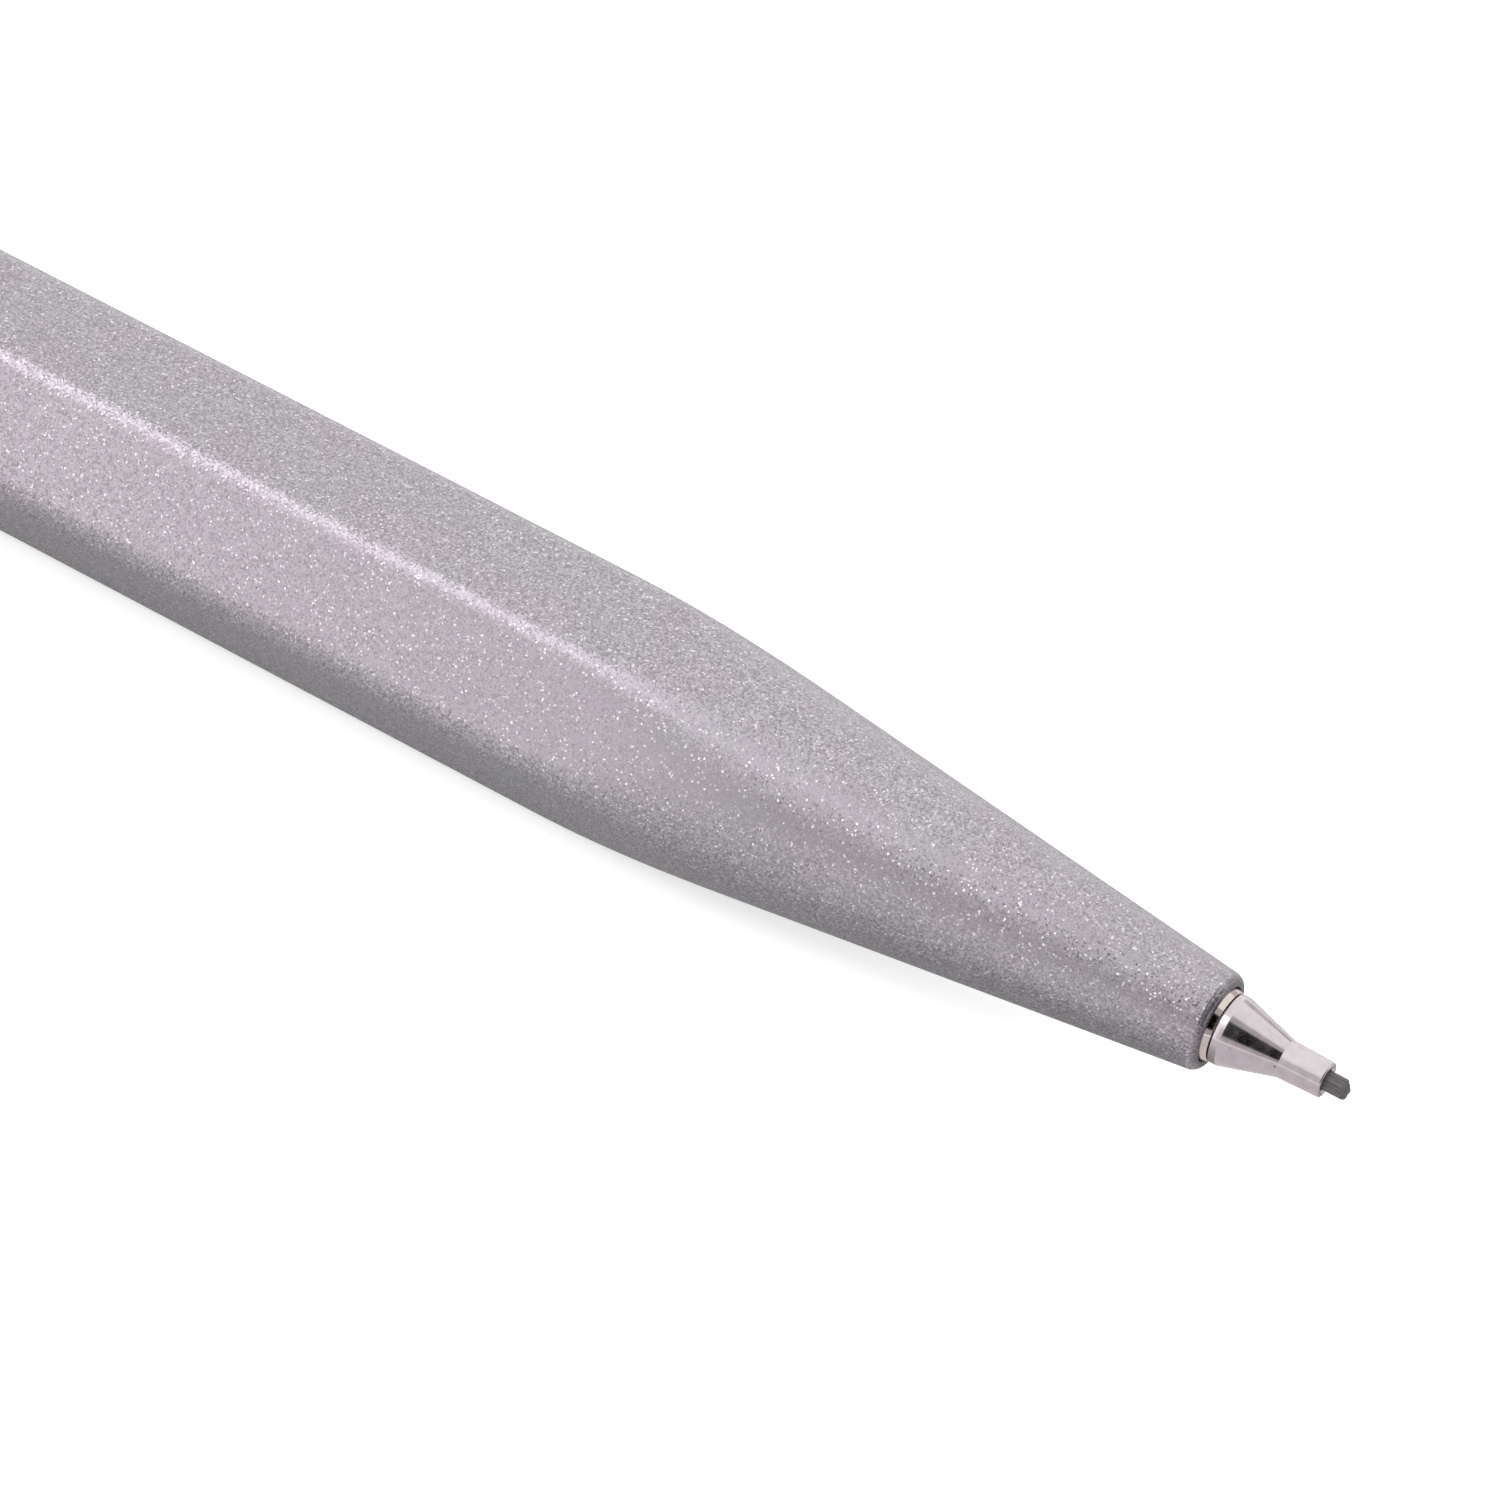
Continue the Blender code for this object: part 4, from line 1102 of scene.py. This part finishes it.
def make_camera():
    """Close view of the front end from the near side, with the tip towards the lower right."""
    towards, along, across = camera_axes()
    aim = (Vector((AIM_X, 0.0, AXIS_Z)) - across * AIM_SHIFT) * MM
    right = along * math.cos(VIEW_ROLL) - across * math.sin(VIEW_ROLL)
    down = along * math.sin(VIEW_ROLL) + across * math.cos(VIEW_ROLL)
    data = bpy.data.cameras.new("camera")
    data.lens = LENS
    data.sensor_width = SENSOR
    data.clip_start = 0.01
    data.clip_end = 10.0
    camera = bpy.data.objects.new("camera", data)
    bpy.context.scene.collection.objects.link(camera)
    camera.matrix_world = matrix_from_axes(right, -down, towards, aim + towards * VIEW_DISTANCE)
    bpy.context.scene.camera = camera


def matrix_from_axes(x, y, z, place):
    """Placement whose own axes point along x, y and z."""
    return Matrix((
        (x.x, y.x, z.x, place.x),
        (x.y, y.y, z.y, place.y),
        (x.z, y.z, z.z, place.z),
        (0.0, 0.0, 0.0, 1.0),
    ))


def make_floor():
    """Plain pale floor."""
    bpy.ops.mesh.primitive_plane_add(size=FLOOR_SIZE, location=(0.0, 0.0, 0.0))
    floor = bpy.context.object
    floor.name = "floor"
    surface = bpy.data.materials.new("floor")
    surface.use_nodes = True
    shader = surface.node_tree.nodes["Principled BSDF"]
    shader.inputs["Base Color"].default_value = FLOOR_COLOUR
    shader.inputs["Roughness"].default_value = 0.9
    shader.inputs["Specular IOR Level"].default_value = 0.1
    shader.inputs["Emission Color"].default_value = WHITE
    shader.inputs["Emission Strength"].default_value = FLOOR_GLOW
    floor.data.materials.append(surface)


def make_world():
    """Even white surroundings."""
    world = bpy.data.worlds.new("world")
    bpy.context.scene.world = world
    world.use_nodes = True
    background = world.node_tree.nodes["Background"]
    background.inputs["Color"].default_value = WHITE
    background.inputs["Strength"].default_value = WORLD_LIGHT


LIGHT_ELEVATION = math.radians(80)
LIGHT_DISTANCE = 1.5
LIGHT_SIZE = 1.6
LIGHT_POWER = 6.0


def make_overhead_light():
    """Large softbox above the pencil and a little to the near side, left out of reflections."""
    data = bpy.data.lights.new("overhead_light", "AREA")
    data.shape = "RECTANGLE"
    data.size = LIGHT_SIZE
    data.size_y = LIGHT_SIZE
    data.energy = LIGHT_POWER
    lamp = bpy.data.objects.new("overhead_light", data)
    bpy.context.scene.collection.objects.link(lamp)
    out = Vector((0.0, -math.cos(LIGHT_ELEVATION), math.sin(LIGHT_ELEVATION)))
    lamp.location = out * LIGHT_DISTANCE
    lamp.rotation_mode = "QUATERNION"
    lamp.rotation_quaternion = out.to_track_quat("Z", "Y")
    lamp.visible_glossy = False


def reflected_only(card, surface):
    """Makes a studio card show in glossy surfaces and nowhere else."""
    card.data.materials.append(surface)
    bpy.context.scene.collection.objects.link(card)
    card.visible_camera = False
    card.visible_diffuse = False
    card.visible_transmission = False
    card.visible_shadow = False


def glow(name, colour):
    """Material of a studio card that has one even brightness."""
    surface = bpy.data.materials.new(name)
    surface.use_nodes = True
    shader = surface.node_tree.nodes["Principled BSDF"]
    shader.inputs["Base Color"].default_value = (0.0, 0.0, 0.0, 1.0)
    shader.inputs["Specular IOR Level"].default_value = 0.0
    shader.inputs["Emission Color"].default_value = (*colour, 1.0)
    shader.inputs["Emission Strength"].default_value = 1.0
    return surface


CARD_X = 55.0
CARD_STEPS = 8
NEAR = 0.35
BEHIND = 0.36
FURTHEST = 0.37

# Cards round the pencil's front: lean towards the tip, rise about the axis, colour, distance in metres
CARDS = {
    "camera_hood": ((8.0, 27.0), (17.0, 66.0), (0.0, 0.0, 0.0), NEAR),
    "near_grey_card": ((-16.0, 12.0), (-25.0, 38.0), (0.74, 0.73, 0.74), BEHIND),
    "near_fill_card": ((-60.0, -16.0), (-20.0, 46.0), (1.42, 1.33, 1.37), BEHIND),
    "overhead_card": ((-12.0, 8.0), (48.0, 150.0), (1.20, 1.20, 1.20), FURTHEST),
    "crease_softbox": ((-48.0, -11.0), (50.0, 76.0), (2.45, 2.33, 2.41), NEAR),
    "hood_top_card": ((6.0, 30.0), (66.0, 86.0), (0.55, 0.53, 0.54), NEAR),
    "hood_foot_card": ((12.0, 30.0), (-3.0, 17.0), (0.50, 0.48, 0.49), NEAR),
    "far_grey_card": ((-1.0, 30.0), (152.0, 190.0), (0.66, 0.60, 0.63), BEHIND),
    "front_dark_card": ((30.0, 80.0), (-60.0, 130.0), (0.14, 0.13, 0.14), NEAR),
}


def studio_card(name, lean, rise, colour, distance):
    """Curved card. Its rise is 0 degrees at the near side and 90 overhead."""
    centre = Vector((CARD_X, 0.0, AXIS_Z)) * MM
    points = []
    for i in range(CARD_STEPS + 1):
        a = math.radians(lean[0] + (lean[1] - lean[0]) * i / CARD_STEPS)
        for j in range(CARD_STEPS + 1):
            e = math.radians(rise[0] + (rise[1] - rise[0]) * j / CARD_STEPS)
            out = Vector((math.sin(a), -math.cos(a) * math.cos(e), math.cos(a) * math.sin(e)))
            points.append(centre + out * distance)
    row = CARD_STEPS + 1
    faces = []
    for i in range(CARD_STEPS):
        for j in range(CARD_STEPS):
            corner = i * row + j
            faces.append((corner, corner + row, corner + row + 1, corner + 1))
    mesh = bpy.data.meshes.new(name)
    mesh.from_pydata(points, [], faces)
    reflected_only(bpy.data.objects.new(name, mesh), glow(name, colour))


FLAG_HEIGHT = 0.05
FLAG_REACH = 90.0
FLAG_FRONT_X = 62.0
FLAG_FAR_Y = 1.5
FLAG_DARK = 0.34
FLAG_PALE = 0.80
FLAG_DARK_REACH = 0.5
FLAG_PALE_REACH = 12.0
FRONT_FLOOR_COLOUR = (0.76, 0.7372, 0.7524)


def flat_card(name, corners, surface):
    """Card that lies just above the floor, from its (x, y) corners."""
    mesh = bpy.data.meshes.new(name)
    points = [(x * MM, y * MM, FLAG_HEIGHT * MM) for x, y in corners]
    mesh.from_pydata(points, [], [tuple(range(len(points)))])
    reflected_only(bpy.data.objects.new(name, mesh), surface)


def shade_glow():
    """Brightness of the floor that grows with the distance from under the pencil."""
    shade = glow("floor_shade", WHITE[:3])
    tree = shade.node_tree
    place = tree.nodes.new("ShaderNodeTexCoord")
    parts = tree.nodes.new("ShaderNodeSeparateXYZ")
    tree.links.new(place.outputs["Object"], parts.inputs["Vector"])
    away = tree.nodes.new("ShaderNodeMath")
    away.operation = "ABSOLUTE"
    tree.links.new(parts.outputs["Y"], away.inputs[0])
    fall = tree.nodes.new("ShaderNodeMapRange")
    fall.interpolation_type = "SMOOTHSTEP"
    fall.inputs["From Min"].default_value = FLAG_DARK_REACH * MM
    fall.inputs["From Max"].default_value = FLAG_PALE_REACH * MM
    fall.inputs["To Min"].default_value = FLAG_DARK
    fall.inputs["To Max"].default_value = FLAG_PALE
    tree.links.new(away.outputs["Value"], fall.inputs["Value"])
    tree.links.new(fall.outputs["Result"], tree.nodes["Principled BSDF"].inputs["Emission Strength"])
    return shade


def floor_cards():
    """What glossy surfaces see of the floor: the pencil's own shade, and the pale floor in front of it."""
    rear_x = cad_low.x / MM - FLAG_REACH
    front_x = cad_high.x / MM + FLAG_REACH
    flat_card("floor_shade", [
        (rear_x, -FLAG_REACH),
        (FLAG_FRONT_X, -FLAG_REACH),
        (FLAG_FRONT_X, FLAG_FAR_Y),
        (front_x, FLAG_FAR_Y),
        (front_x, FLAG_REACH),
        (rear_x, FLAG_REACH),
    ], shade_glow())
    flat_card("floor_in_front", [
        (FLAG_FRONT_X, -FLAG_REACH),
        (front_x, -FLAG_REACH),
        (front_x, FLAG_FAR_Y),
        (FLAG_FRONT_X, FLAG_FAR_Y),
    ], glow("floor_in_front", FRONT_FLOOR_COLOUR))


# ---------------------------------------------------------------- the whole scene

make_barrel()
make_nose_cone()
make_mechanism_body()
make_lead()
make_lead_retainer()
make_mechanism()
make_chuck_connector()
make_chuck_spring()
make_spare_leads()
make_rear_bush()
make_clip_ring()
make_clip_arm()
make_push_button()
make_eraser()
keep_jaws()
make_floor()
make_world()
make_overhead_light()
for card_name, card in CARDS.items():
    studio_card(card_name, *card)
floor_cards()
make_camera()
bpy.context.scene.view_settings.view_transform = "Standard"
